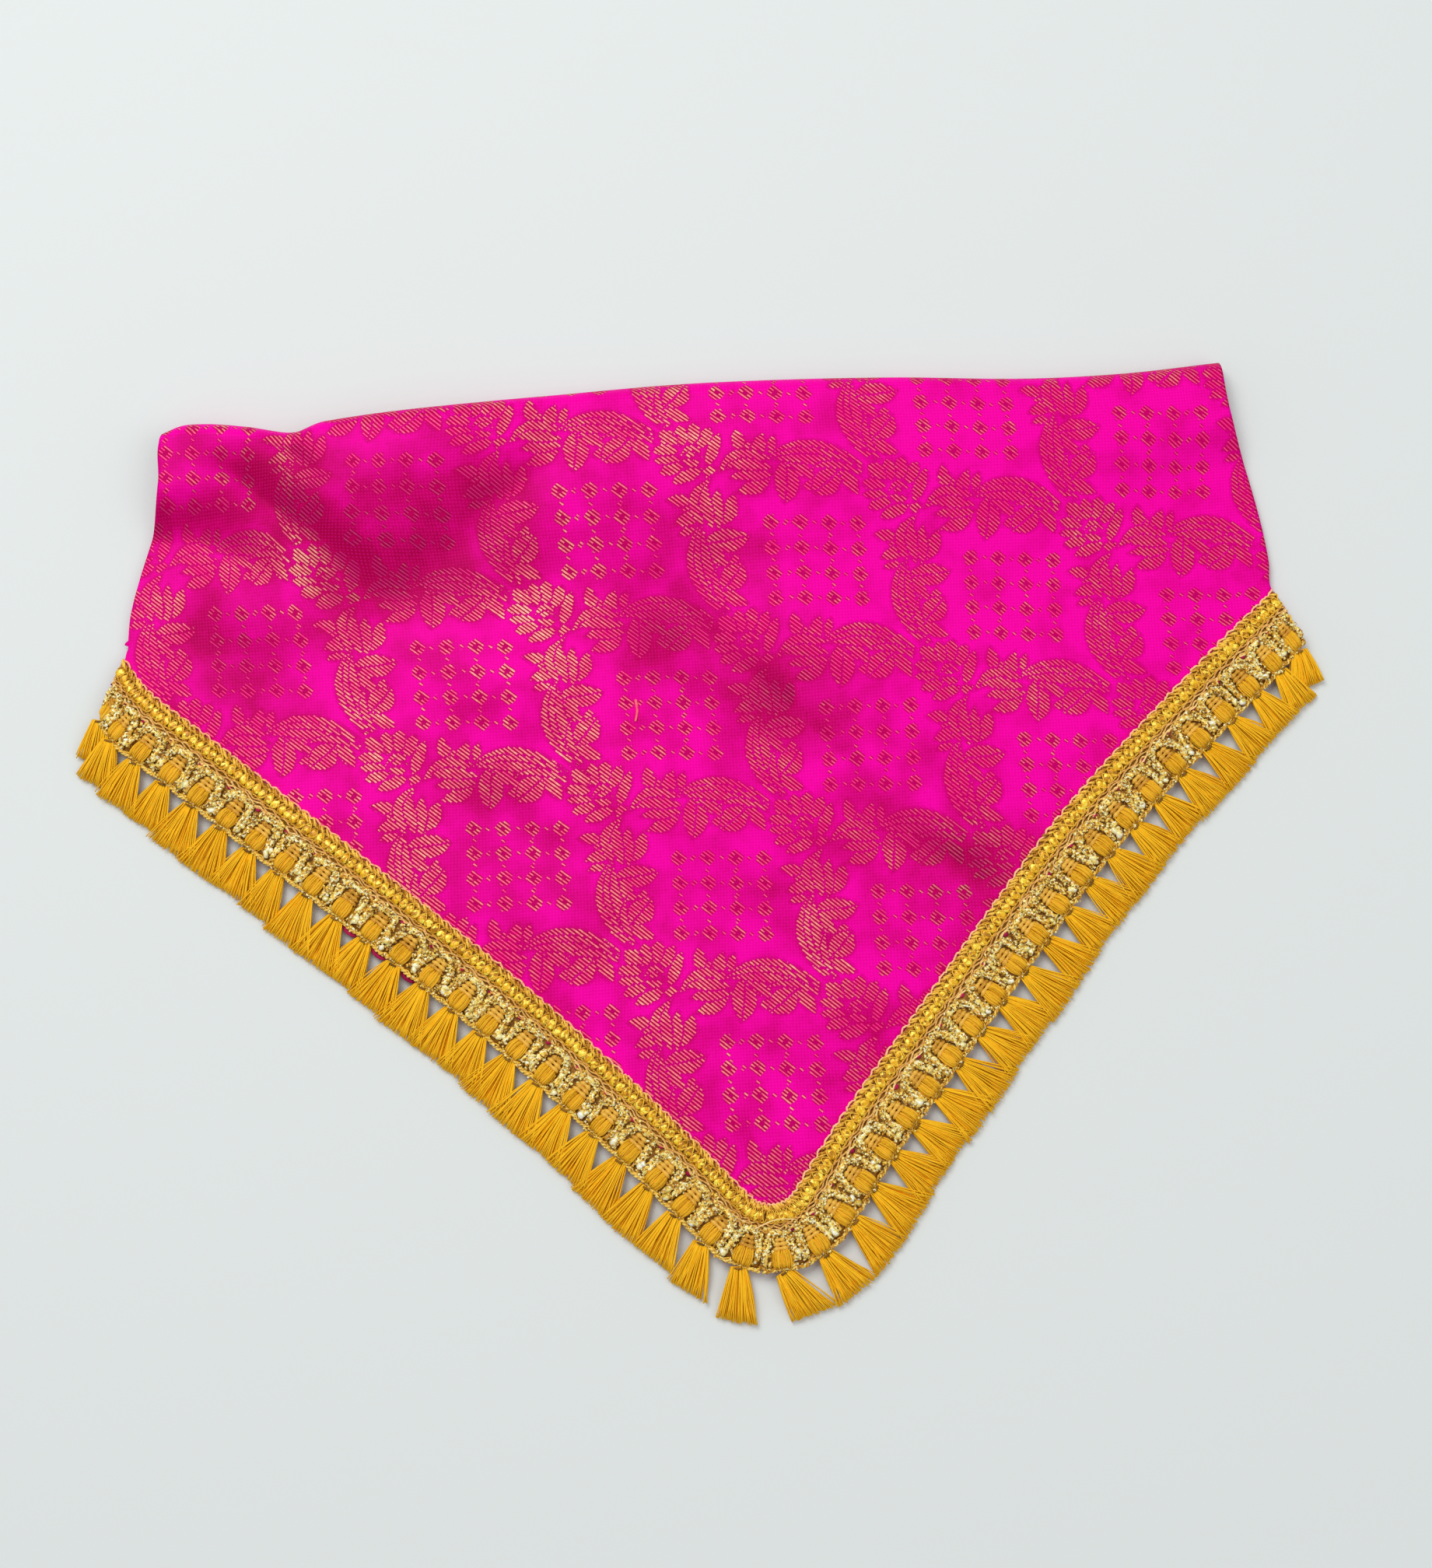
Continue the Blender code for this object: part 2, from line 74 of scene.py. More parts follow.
def table_mm(kind, *rows):
    """Rows of lengths given in mm, in metres and with their columns named."""
    return table(kind, *([value * MM for value in row] for row in rows))


# Sizes of the cloth, as in the part's source
CLOTH = 0.0010
SEAM = 0.0003
CHANNEL_DEPTH = 0.030
CHANNEL_RISE = 0.0050
CHANNEL_SWELL = 0.0022
SWELL_FROM = -0.010
SWELL_FULL = -0.060
CHANNEL_FLAT = 0.0165
CHANNEL_FADE = 0.056
FADE_FROM = 0.140
FADE_FULL = 0.085
ROLL = 0.0050
AIR = 0.0011
AIR_RUN = 0.030
TOP_EDGE = table_mm(
    Place,
    (-134.7, 115.9), (-129, 117.8), (-114, 116.3), (-101.5, 114.3), (-93.5, 116.8), (-60, 119.2),
    (-10, 121.7), (18, 121.8), (56, 120.5), (90, 118.1), (117, 117.9), (142.5, 119.4),
)
LEFT_SIDE = table_mm(
    Place,
    (-134.7, 115.9), (-136.7, 110), (-136.9, 100.7), (-139, 90.9), (-143.5, 76.9), (-146.1, 66.9),
    (-147.5, 56.1),
)
RIGHT_SIDE = table_mm(
    Place,
    (142.5, 119.4), (143.2, 108.5), (144.2, 101), (146.8, 90.8), (149.5, 75.2), (150.6, 64),
    (150.5, 56.7),
)
POINT = Place(0.0111, -0.0972)
POINT_ROUND = 0.0065
LEFT_SAG = table(
    Sag,
    (0.0, 0.0), (0.05, -0.0022), (0.13, -0.0012), (0.25, 0.0002), (0.45, 0.0024), (0.62, 0.0037),
    (0.82, 0.0028), (1.0, 0.0),
)
RIGHT_SAG = table(
    Sag,
    (0.0, 0.0), (0.15, 0.0036), (0.38, 0.0071), (0.55, 0.0062), (0.70, 0.0048), (0.86, 0.0032),
    (1.0, 0.0),
)
FOLD_END = 0.35
FOLDS = table_mm(
    Fold,
    (-132, 111, -112, 110, 2.2, 9), (-126, 110, -79, 66, -2.4, 7.5), (-90, 104, -52, 112, 1.8, 11),
    (-30, 106, -78, 68, -2, 8), (-136, 78, -98, 58, 2, 10), (-72, 52, -30, 36, 2, 12),
    (-70, 20, -30, -10, -1, 8), (-12, 62, 60, -17, -1.6, 7.5), (10, 78, 70, 16, 1.8, 11),
    (-30, 34, 24, -22, 1.6, 11), (-23, -4, -12, -32, -0.8, 7), (70, 84, 120, 66, 1, 18),
)

# Lesser creases, which only the shown cloth has
CREASES = table_mm(
    Fold,
    (-121, 104, -100, 88, -1, 3), (-108, 112, -96, 100, -1.2, 3.5), (-58, 88, -40, 98, -0.7, 3.5),
    (-100, 84, -86, 64, 0.7, 4), (12, 44, 38, 12, -0.7, 3.5), (-16, 74, 6, 50, -0.7, 4),
    (52, -4, 74, -22, -0.7, 4.5), (-66, 4, -40, -12, -0.5, 4), (96, 100, 100, 76, -0.5, 6),
    (30, 104, 24, 80, -0.5, 6), (128, 98, 136, 66, -0.6, 5), (-4, -48, 16, -66, -0.5, 4.5),
)

# Sizes of the trim, outwards from its inner edge
TRIM_HEADS = 0.0135
CLOTH_OUT = 0.0161
CORD_IN = 0.0165
CORD_WIDE = 0.0010
END_RUN = 0.022
LEFT_END = End(0.23, 0.54)
RIGHT_END = End(0.06, 0.25)
LEG_SAMPLES = 120
WAY_SAMPLES = 5
BEND_SAMPLES = 24
LEFT_TASSELS = 24
RIGHT_TASSELS = 23
TURN_WAVER = math.radians(0.8)  # small waves in the tassels' directions and lengths
LONG_WAVER = 0.04
TURN_WAVES = 2.4
LONG_WAVES = 1.7
# Direction of these tassels, from straight down, and their length; the others lie between
TASSELS = table(
    Turn,
    (0, -12, 0.0104), (2, -27, 0.0118), (8, -29, 0.0122), (10, -34, 0.0123), (13, -31, 0.0124),
    (16, -35, 0.0124), (20, -37, 0.0122), (22, -22, 0.0120), (23, -5, 0.0122), (24, 33, 0.0122),
    (25, 38, 0.0122), (26, 45, 0.0122), (28, 55, 0.0124), (33, 53, 0.0122), (39, 48, 0.0116),
    (44, 42, 0.0106), (46, 10, 0.0092),
)
STRANDS = 80  # to a tassel, round its core
THREAD_STEP = 0.0004  # between the points of a thread that runs along the trim
NET = 0.0004  # thickness of the net that carries the threads
PICOT = 0.0033  # from one scallop of the braid's edge to the next
WHIP = 0.0009  # from one whipped loop to the next
FOIL_CELL = 0.0021  # from one foil cell to the next
FOIL_OUT = 0.0035  # how far out their row lies
HEAD_OUT = 0.0140  # how far out the yarn heads lie
CORD_OUT = 0.0166  # and the lower cord
HEAD_STRANDS = 14  # over the two lobes of a head
# Layers of the trim: a section's sides, how uneven it is, its height by its width, and the node
# of the part that the layer stands for
LAYERS = {
    "braid_net": Layer("net", "foil_braid", node="braid"),
    "braid_edge": Layer("copper", "foil_braid", 6, 0.2),
    "braid_loops": Layer("olive", "foil_braid", 5, 0.22),
    "braid_wires": Layer("gold", "foil_braid", 5, 0.15),
    "braid_foil": Layer("foil", "foil_braid", 10, 0.10, 0.25),
    "lace_net": Layer("net", "glitter_lace", node="lace"),
    "lace_arches_inner": Layer("glitter", "glitter_lace", 8, 0.14),
    "lace_arches_outer": Layer("glitter", "glitter_lace", 8, 0.14),
    "lace_glints": Layer("glitter", "glitter_lace", 5, 0.15, 0.4),
    "lace_knots": Layer("knots", "glitter_lace", 5, 0.15, 0.8),
    "lace_film_highlights": Layer("film", "glitter_lace", 5, 0.15, 0.6),
    "lace_seam": Layer("rosy", "glitter_lace", 5, 0.2),
    "lace_coils": Layer("bronze", "glitter_lace", 8, 0.08),
    "lace_eyelets": Layer("crimson", "glitter_lace", 6, 0.0, 0.5),
    "yarn_heads": Layer("head", "yarn", 12, 0.0, 0.85),
    "head_strands": Layer("head", "yarn", 5, 0.06),
    "lower_cord": Layer("pale", "yarn", 6, 0.25),
    "lower_thread": Layer("gold", "yarn", 5, 0.25),
    "lower_glints": Layer("glitter", "glitter_lace", 5, 0.15, 0.4),
    "tassel_cores": Layer("packed yarn", "yarn", 20, 0.015, 0.10),
    "tassel_strands": Layer("yarn", "yarn", 4, 0.0, 0.7, "tassels"),
    "root_knots": Layer("knot", "yarn", 5),
    "lining_slivers": Layer("crimson", "lining", 6, 0.0, 0.4),
    "curled_thread": Layer("rosy", "yarn", 6, 0.12),
    "short_thread": Layer("rosy", "yarn", 6, 0.12),
    "loose_fibre": Layer("fibre", "yarn", 6, 0.12),
}
# Half the angle to which these tassels' strands spread
FANS = table(
    Fan,
    (0, 16.0), (4, 20.0), (18, 20.0), (23, 15.0), (24, 16.0), (28, 19.5), (46, 17.0),
)
FAN_LONG = 1.04  # how much longer than the solid locks the loose strands lie
SLIVERS = (10, 11, 12)  # gaps between tassels, counted from the left corner
# Three places on the way of each loose thread, its height above the silk and its radius
LOOSE = table(
    Stray,
    ("curled_thread", 0.0058, -0.0996, 0.0110, -0.0977, 0.0161, -0.0978, 0.0027, 0.00020),
    ("short_thread", 0.0005, -0.0955, 0.0025, -0.0972, 0.0046, -0.0981, 0.0025, 0.00018),
    ("loose_fibre", -0.0163, 0.0364, -0.0160, 0.0335, -0.0166, 0.0306, 0.0003, 0.00038),
)
POINT_CROWDING = 1.2
SIDE_FADE = 4
SEAM_SAMPLES = 120
SIDE_SAMPLES = 12
SIDE_SEAM_TOP = 1.2

# Grids of the shown cloth, front and back
COLUMNS = 240
ROLL_ROWS = 8
FLAT_ROWS = 150
BACK_COLUMNS = 96
BACK_ROWS = 60

# Repeat of the brocade
REPEAT_START = Vector((-39.13, 61.66))  # heart of one flower, in mm
REPEAT_A = Vector((51.66, -11.36))  # from flower to flower across the cloth, in mm
REPEAT_B = Vector((11.25, -48.68))  # and down it
LATTICE = Vector((30.45, -29.26))  # from a flower to the middle of its square of diamonds
# How far the cloth's stretch shifts the pattern round these places, in mm
PULLS = table(
    Pull,
    (-120, 95, -0.7, 0.8), (-80, 100, -2.4, -0.3), (-40, 100, -2.1, 1.1), (0, 100, -0.3, 1.6),
    (40, 100, 1.0, 1.2), (80, 100, 1.7, -0.2), (120, 100, 1.4, -0.9), (-115, 60, -0.1, -0.5),
    (-75, 60, -0.3, -0.6), (-35, 60, 0.2, -0.7), (5, 60, 0.3, 0.3), (45, 60, 0.8, 0.5),
    (85, 60, -0.6, 0.2), (125, 60, -1.1, -1.3), (-60, 20, 0.7, -0.3), (-20, 20, 0.7, -0.6),
    (20, 20, 0.6, -0.4), (60, 20, 0.1, 0.3), (100, 25, -1.0, -0.5), (-20, -20, 1.0, 0.7),
    (60, -15, -1.0, -0.2), (10, -55, -1.1, 1.5), (-99, 80, -4.4, 2.2, 15), (-72, 98, -1.6, 0.2, 14),
)

# Where the metal weft catches more light or less, and where the satin ground is in shade
GLINTS = table(
    Patch,
    (-88, 22, 24, 0.36), (-46, 30, 26, 0.36), (-44, 54, 18, 0.22), (-36, 68, 16, 0.36),
    (-88, 48, 12, 0.26), (-104, 72, 12, 0.38), (-112, 102, 14, 0.30), (-28, 84, 16, 0.40),
    (-40, 112, 14, 0.35), (4, 104, 18, 0.52), (8, 78, 14, 0.25), (-28, 14, 18, 0.28),
    (-76, -8, 16, 0.38), (-34, -18, 20, 0.22), (-14, -42, 20, 0.38), (24, -30, 14, 0.55),
    (10, -74, 24, 0.32), (104, 74, 12, 0.34), (84, 30, 14, 0.26), (66, -8, 14, 0.24),
    (60, 84, 16, 0.20), (-134, 66, 10, 0.40), (-72, 88, 18, -0.35), (-56, 92, 12, -0.30),
    (-10, 60, 14, -0.35), (-112, 48, 12, -0.30), (48, 8, 20, -0.10), (-101, 80, 9, 0.42),
)
SHADES = table(
    Patch,
    (-104, 96, 15, -0.58), (-88, 74, 14, -0.50), (-64, 94, 18, -0.30), (-66, 74, 14, -0.36),
    (-46, 84, 12, -0.20), (-8, 54, 12, -0.52), (19, 35, 12, -0.58), (-4, 40, 14, -0.22),
    (36, -4, 16, -0.30), (65, -14, 14, -0.64), (6, 78, 10, -0.20), (-58, 6, 18, -0.20),
    (-34, -20, 16, -0.26), (2, -60, 14, -0.16), (-116, 48, 14, -0.34), (-120, 66, 14, -0.22),
    (-112, 100, 10, -0.25), (34, -54, 14, -0.15), (132, 58, 10, -0.18), (138, 92, 16, 0.22),
    (50, 92, 24, 0.10), (108, 72, 46, 0.26), (-62, 66, 11, -0.16), (-84, 64, 12, -0.20),
    (-58, 10, 14, -0.14), (-129, 112, 10, -0.16), (-128, 55, 12, -0.16), (-25, 68, 14, -0.12),
    (34, 30, 14, -0.10),
)
# Leaves from tip to tip in mm: how far each bows, half its width and its vein
SPRAY_LONG = 52.8  # length, in mm, in which the spray's leaves are given
SPRAY = table(
    Leaf,
    (4.2, -4.4, 7.0, -2.8, 0.2, 0.9), (12.6, 8.8, 14.4, 1.4, -0.3, 1.7),
    (15.6, 5.8, 15.7, 1.2, 0.0, 1.1), (19.4, 8.6, 15.9, 1.2, 0.4, 1.6),
    (7.6, -3.4, 21.2, 2.2, 2.2, 1.8), (12.0, -8.2, 20.4, -3.2, -0.4, 1.6),
    (10.6, -4.6, 21.4, -1.8, 0.3, 1.5), (9.4, -1.8, 21.2, -0.2, 0.6, 1.45),
    (22.2, 8.6, 20.8, 3.8, 0.0, 1.0), (25.0, 3.0, 23.8, -8.8, 0.3, 3.1, 0.28),
    (25.6, 1.8, 32.4, -1.2, 0.4, 1.6), (20.8, 3.4, 44.4, 4.8, 2.4, 2.5),
    (20.8, 2.8, 44.2, 3.8, 1.9, 1.75), (21.6, 2.2, 44.4, 2.8, 1.4, 1.25),
    (33.0, -1.8, 28.8, -4.0, 0.2, 1.2), (38.4, 2.2, 31.2, -5.2, 0.2, 2.9, 0.28),
    (38.6, 2.4, 42.8, -3.2, 0.3, 1.9), (31.4, 1.6, 44.4, 1.8, 1.7, 0.85),
)
PETALS = table(
    Leaf,
    (8.0, 5.0, 4.7, -3.4, 0.0, 1.4), (5.9, 6.8, 2.9, 1.3, 0.0, 1.5), (2.2, 8.4, 0.9, 2.4, 0.0, 1.6),
    (-1.6, 8.0, -1.3, 2.0, 0.0, 1.5), (-6.6, 6.6, -2.6, 2.4, 0.0, 1.8),
    (-8.6, 1.7, -2.4, 0.9, 0.0, 1.4), (-8.4, -1.2, -2.0, -1.6, 0.0, 1.1),
    (-7.2, -4.6, -1.2, -3.0, 0.0, 1.3), (-4.2, -7.2, 3.2, -4.4, 0.0, 1.4),
    (4.2, -4.6, 5.6, -5.4, 0.0, 0.8), (-1.4, -1.8, 3.0, -2.4, -0.5, 0.9),
    (3.4, -1.2, -1.9, -0.7, -2.2, 0.85), (-0.4, -0.5, 1.8, -0.4, 0.2, 0.7),
)
POINTED = 2.0  # how fast a leaf narrows towards its tips
BLUNT = 3.0
LEAF_GAP = 0.42  # ground left between a leaf and the one behind it
DIAMOND_X = 7.35
DIAMOND_Y = 6.65
DIAMOND_OUT = 1.95
DIAMOND_IN = 0.72
DOT = 0.70
DIAMOND_LEAN = 0.06  # how far the rows of diamonds fall to the left
DIAMOND_BLUNT = 0.78  # share by which a diamond's corners are cut
DIAMONDS_REACH = 2.0  # how many cells the square of diamonds reaches from its middle
DOTS_REACH = 1.8
LINE_THIN = 0.20  # half width of a gold line in the shade, as a share of the step between them
LINE_WIDE = 0.34
LINE_SOFT = 0.09
TWILL = 0.84  # from one gold thread to the next, in mm; the real 0.68 is too fine to show
TWILL_TURN = math.radians(-41)
GROUND = 0.80  # from one light point of the satin to the next; the real 0.62 is too fine to show

# Threads of the trim: tones from dark to light, grit in mm, and fibre lines along a thread
THREADS = table(
    Thread,
    # cotton net in old gold: the dull ground under the braid and the lace
    ("net", "olive braid net", ("#7A4A0A", "#B87C1C", "#DCA238"), 0.1, 0.6, 0.7),
    # copper cotton: the soft salmon scallops against the pink
    ("copper", "copper picot thread", ("#C86848", "#F89C6C", "#FFC894"), 0.0, 0.6, 0.6),
    # metal thread whipped over the edge: dark olive gaps with bright gold backs
    ("olive", "olive gold thread", ("#6E4406", "#D4901C", "#FFD050"), 0.1, 0.5, 0.45),
    # fine metal thread: the drawn lines between the foil cells
    ("gold", "gold metal thread", ("#6A3E04", "#D08A10", "#FCC840"), 0.1, 0.45, 0.45),
    # pale sewing thread: the rosy seam between braid and lace
    ("rosy", "rosy seam thread", ("#A86C34", "#E4AC58", "#FFDC94"), 0.0, 0.6, 0.5),
    # wound metal thread: the brown-gold coils under each arch
    (
        "bronze", "wound bronze thread", ("#6E4408", "#B07618", "#D49828", "#ECB644"),
        0.1, 0.5, 0.6, 0.25,
    ),
    # dyed cotton: red specks where the cloth and its thread look through
    ("crimson", "crimson thread", ("#8A0A3C", "#C02458"), 0.0, 0.7, 0.6),
    # two-ply metal twist: the light line along the tassels' roots
    ("pale", "pale gold twist", ("#7A4C0A", "#E0A42C", "#FFDC6C"), 0.1, 0.45, 0.5),
    # spun acrylic, loose and matt: the warm mustard of the tassels
    (
        "yarn", "mustard yarn", ("#F49C0A", "#FFAC0E", "#FFB614", "#FFC628"),
        0.0, 0.9, 0.8, 0.15, 0.05,
    ),
    # the same yarn packed side by side: close fibre lines, with no gaps to the floor
    (
        "packed yarn", "packed mustard yarn", ("#F49C0A", "#FFAC0E", "#FFB614", "#FFC628"),
        0.0, 0.9, 0.8, 0.3, 0.05, 110.0,
    ),
    # the same yarn wound tight: a darker, rounder mustard
    (
        "head", "wound mustard yarn", ("#8A5C0A", "#C48C14", "#DEA41E", "#F4BA30"),
        0.0, 0.8, 0.7, 0.3, 0.2,
    ),
    # a hair of salmon fluff on the silk
    ("fibre", "loose salmon fibre", ("#F0406C", "#FF6E7C", "#FF8E80"), 0.0, 0.7, 1.5),
    # thin tying thread: the dark nick at each tassel's root
    ("knot", "dark brown thread", ("#5A3A0A", "#946620"), 0.1, 0.6, 0.6),
)
# Metal film: tones of its facets from dark to light, each facet painted light or dark as a painted
# glint, and their size in mm
FILMS = table(
    Film,
    # rolled foil strip: the bright yellow cells of the braid
    ("foil", "bright foil", ("#A86E06", "#E4A008", "#F6C218", "#FFEE60"), 0.7, 0.3),
    # film cut small and spun into a cord: painted near-white glints beside brown
    (
        "glitter", "glitter cord", ("#8C5810", "#E4A630", "#FFD65A", "#FFEC8C", "#FFFACC"),
        0.46, 0.35,
    ),
    # the same cord knotted: a little darker, so that the arches stand out on it
    (
        "knots", "knotted glitter cord", ("#7A480A", "#CC8A20", "#F0B43A", "#FFDA60", "#FFF4A8"),
        0.55, 0.4,
    ),
    # bare film, folded: painted near-white highlights between the heads
    ("film", "bare gold film", ("#D8B040", "#FFEC8C", "#FFF8C8", "#FFFFF0"), 0.9, 0.2),
)

# Camera and light
CAMERA_TURN = -3.43
CAMERA_RISE = 78.0
CAMERA_LENS = 60.0
CAMERA_AWAY = 0.672
LOOK_AT = Vector((0.0031, 0.0139, 0.0))


def smooth_step(low, high, values):
    share = np.clip((values - low) / (high - low), 0.0, 1.0)
    return share * share * (3 - 2 * share)


def smooth_table(rows, values, column=1):
    """The column's values where the first column has these, on a smooth curve through the rows."""
    keys = np.array([row[0] for row in rows])
    heights = np.array([row[column] for row in rows])
    i = np.clip(np.searchsorted(keys, values) - 1, 0, len(keys) - 2)
    before = np.maximum(i - 1, 0)
    after = np.minimum(i + 2, len(keys) - 1)
    wide = keys[i + 1] - keys[i]
    rise_low = (heights[i + 1] - heights[before]) / (keys[i + 1] - keys[before]) * wide
    rise_high = (heights[after] - heights[i]) / (keys[after] - keys[i]) * wide
    t = np.clip((values - keys[i]) / wide, 0.0, 1.0)
    return (
        heights[i] * (1 + 2 * t) * (1 - t) ** 2
        + rise_low * t * (1 - t) ** 2
        + heights[i + 1] * t * t * (3 - 2 * t)
        - rise_high * t * t * (1 - t)
    )


def norm(vectors):
    return np.linalg.norm(vectors, axis=-1)


def unit(vectors):
    return vectors / norm(vectors)[..., None]


def crosswise(ways):
    """These ways in plan, turned a quarter to the left."""
    return np.stack((-ways[..., 1], ways[..., 0]), axis=-1)


def turned(ways, angles):
    """These ways in plan, turned to the left by so much."""
    return ways * np.cos(angles)[..., None] + crosswise(ways) * np.sin(angles)[..., None]


def raised(plan, height):
    """These places in plan, at this height."""
    height = np.broadcast_to(height, plan.shape[:-1])
    return np.concatenate((plan, height[..., None]), axis=-1)


def reached(paths):
    """How far along its path each point lies."""
    steps = norm(np.diff(paths, axis=-2))
    return np.concatenate((np.zeros_like(steps[..., :1]), np.cumsum(steps, axis=-1)), axis=-1)


def matched(*values):
    """These values as arrays of one shape."""
    return np.broadcast_arrays(*(np.asarray(value, float) for value in values))


def along_line(rows, shares):
    """Places on a smooth curve through the rows, at these shares of its length."""
    places = np.array([(row[0], row[1]) for row in rows])
    keys = reached(places)
    values = shares * keys[-1]
    columns = [smooth_table(list(zip(keys, places[:, i])), values) for i in (0, 1)]
    return np.stack(columns, axis=-1)


def top_edge(shares):
    x = TOP_EDGE[0].x + shares * (TOP_EDGE[-1].x - TOP_EDGE[0].x)
    return np.stack((x, smooth_table(TOP_EDGE, x)), axis=-1)


def leg(corner, sags, shares):
    """Places on the trim's inner edge, from a side corner at 0 to the point at 1."""
    start = np.array(corner)
    run = np.array(POINT) - start
    inward = unit(crosswise(run))
    inward *= math.copysign(1.0, inward[1])
    sag = smooth_table(sags, shares)
    return start + run * shares[:, None] + inward * sag[:, None]


def leg_samples(places, way, cut):
    """Places before the rounded point, each with the trim's outward normal."""
    runs = unit(np.diff(places, axis=0)) * way
    keep = np.logical_and.accumulate(norm(places[1:] - np.array(POINT)) >= cut)
    return places[:-1][keep], -crosswise(runs)[keep]


def trim_samples():
    """Places and outward normals along the trim's inner edge, from left corner to right corner."""
    shares = np.linspace(0.0, 1.0, LEG_SAMPLES + 1)
    left = leg(LEFT_SIDE[-1], LEFT_SAG, shares)
    right = leg(RIGHT_SIDE[-1], RIGHT_SAG, shares)
    left_way = unit(left[-1] - left[-1 - WAY_SAMPLES])
    right_way = unit(right[-1 - WAY_SAMPLES] - right[-1])
    half = math.acos(float(left_way @ right_way)) / 2
    cut = POINT_ROUND * math.tan(half)
    middle = np.array(POINT) + unit(right_way - left_way) * (POINT_ROUND / math.cos(half))
    left_places, left_normals = leg_samples(left, 1, cut)
    right_places, right_normals = leg_samples(right, -1, cut)
    first, last = left_normals[-1], right_normals[-1]
    turn = math.acos(float(first @ last))
    bend = turned(first, turn * np.arange(1, BEND_SAMPLES) / BEND_SAMPLES)
    places = np.concatenate((left_places, middle + bend * POINT_ROUND, right_places[::-1]))
    normals = np.concatenate((left_normals, bend, right_normals[::-1]))
    return places, normals


TRIM_PLACES, TRIM_NORMALS = trim_samples()
TRIM_REACHED = reached(TRIM_PLACES + TRIM_NORMALS * TRIM_HEADS)
TRIM_LONG = TRIM_REACHED[-1]
ALL_TASSELS = LEFT_TASSELS + RIGHT_TASSELS
PITCH = TRIM_LONG / ALL_TASSELS
TRIM_MIDDLE = PITCH * LEFT_TASSELS
HALVES = (
    ("_left", 0, LEFT_TASSELS, 0.0, TRIM_MIDDLE),
    ("_right", LEFT_TASSELS, ALL_TASSELS, TRIM_MIDDLE, TRIM_LONG),
)


def trim_place(lengths, outs):
    """Places at these lengths along the trim and these distances out from its inner edge."""
    lengths, outs = matched(lengths, outs)
    place, normal = (
        np.stack([np.interp(lengths, TRIM_REACHED, column) for column in rows.T], axis=-1)
        for rows in (TRIM_PLACES, TRIM_NORMALS)
    )
    normal = unit(normal)
    near = np.maximum(0.0, 1 - np.minimum(lengths, TRIM_LONG - lengths) / END_RUN) ** 2
    at_left = lengths < TRIM_LONG / 2
    tuck = np.where(at_left, LEFT_END.tuck, RIGHT_END.tuck) * near
    tuck = tuck * np.minimum(1.0, outs / CLOTH_OUT)
    skew = np.where(at_left, LEFT_END.skew, -RIGHT_END.skew) * near * outs
    return place + normal * (outs * (1 - tuck))[..., None] + crosswise(normal) * skew[..., None]


def bottom_edge(across):
    """Places on the cloth's lower edge: -1 at the left corner, 0 at the point, 1 at the right."""
    part = np.abs(across) ** POINT_CROWDING
    beyond = np.where(across < 0, -TRIM_MIDDLE, TRIM_LONG - TRIM_MIDDLE)
    return trim_place(TRIM_MIDDLE + beyond * part, CLOTH_OUT)


LEFT_EDGE = LEFT_SIDE + (Place(*bottom_edge(np.array(-1.0))),)
RIGHT_EDGE = RIGHT_SIDE + (Place(*bottom_edge(np.array(1.0))),)


def panel_place(across, depth):
    """Places on the pentagon: across from -1 to 1, and depth in metres down from the top edge."""
    across, depth = matched(across, depth)
    share = (across + 1) / 2
    top = top_edge(share)
    bottom = bottom_edge(across)
    t = depth / norm(bottom - top)
    place = top + (bottom - top) * t[..., None]
    for rows, weight in ((LEFT_EDGE, (1 - share) ** SIDE_FADE), (RIGHT_EDGE, share**SIDE_FADE)):
        start, end = np.array(rows[0]), np.array(rows[-1])
        straight = start + (end - start) * t[..., None]
        place = place + (along_line(rows, t) - straight) * weight[..., None]
    return place


def panel_length(across):
    across = np.asarray(across, float)
    return norm(bottom_edge(across) - top_edge((across + 1) / 2))


def seam_points():
    """Places along the sewn edges: both sides below the channel, and the two lower edges."""
    points = [bottom_edge(np.linspace(-1.0, 1.0, SEAM_SAMPLES + 1))]
    for side in (-1.0, 1.0):
        depths = np.linspace(CHANNEL_DEPTH * SIDE_SEAM_TOP, panel_length(side), SIDE_SAMPLES + 1)
        points.append(panel_place(side, depths))
    return np.concatenate(points)


SEAMS = seam_points()


def fold_height(places, folds):
    """What these ridges and valleys add at the places."""
    total = np.zeros(places.shape[:-1])
    for fold in folds:
        start = np.array((fold.x1, fold.y1))
        run = np.array((fold.x2, fold.y2)) - start
        share = np.clip((places - start) @ run / (run @ run), 0.0, 1.0)
        nearest = start + run * share[..., None]
        away = norm(places - nearest) / fold.spread
        along = FOLD_END + (1 - FOLD_END) * np.sin(math.pi * share)
        total += fold.height * along * np.exp(-away * away)
    return total


def air_under(places, creases=()):
    """Clear height between the front and the back panel."""
    x = places[..., 0]
    depth = smooth_table(TOP_EDGE, x) - places[..., 1]
    fade = CHANNEL_DEPTH
    fade = fade + (CHANNEL_FADE - CHANNEL_DEPTH) * smooth_step(FADE_FROM, FADE_FULL, np.abs(x))
    in_channel = 1 - smooth_step(CHANNEL_FLAT, fade, depth)
    from_seam = np.full(x.shape, 1.0)
    for seam in SEAMS:
        from_seam = np.minimum(from_seam, norm(places - seam))
    lift = smooth_step(0.0, AIR_RUN, from_seam)
    swell = CHANNEL_SWELL * smooth_step(SWELL_FROM, SWELL_FULL, x)
    folds = fold_height(places, FOLDS) + fold_height(places, creases)
    below = (AIR + folds) * lift
    inside = CHANNEL_RISE + swell + folds
    return SEAM + np.maximum(0.0, below * (1 - in_channel) + inside * in_channel)


# Materials


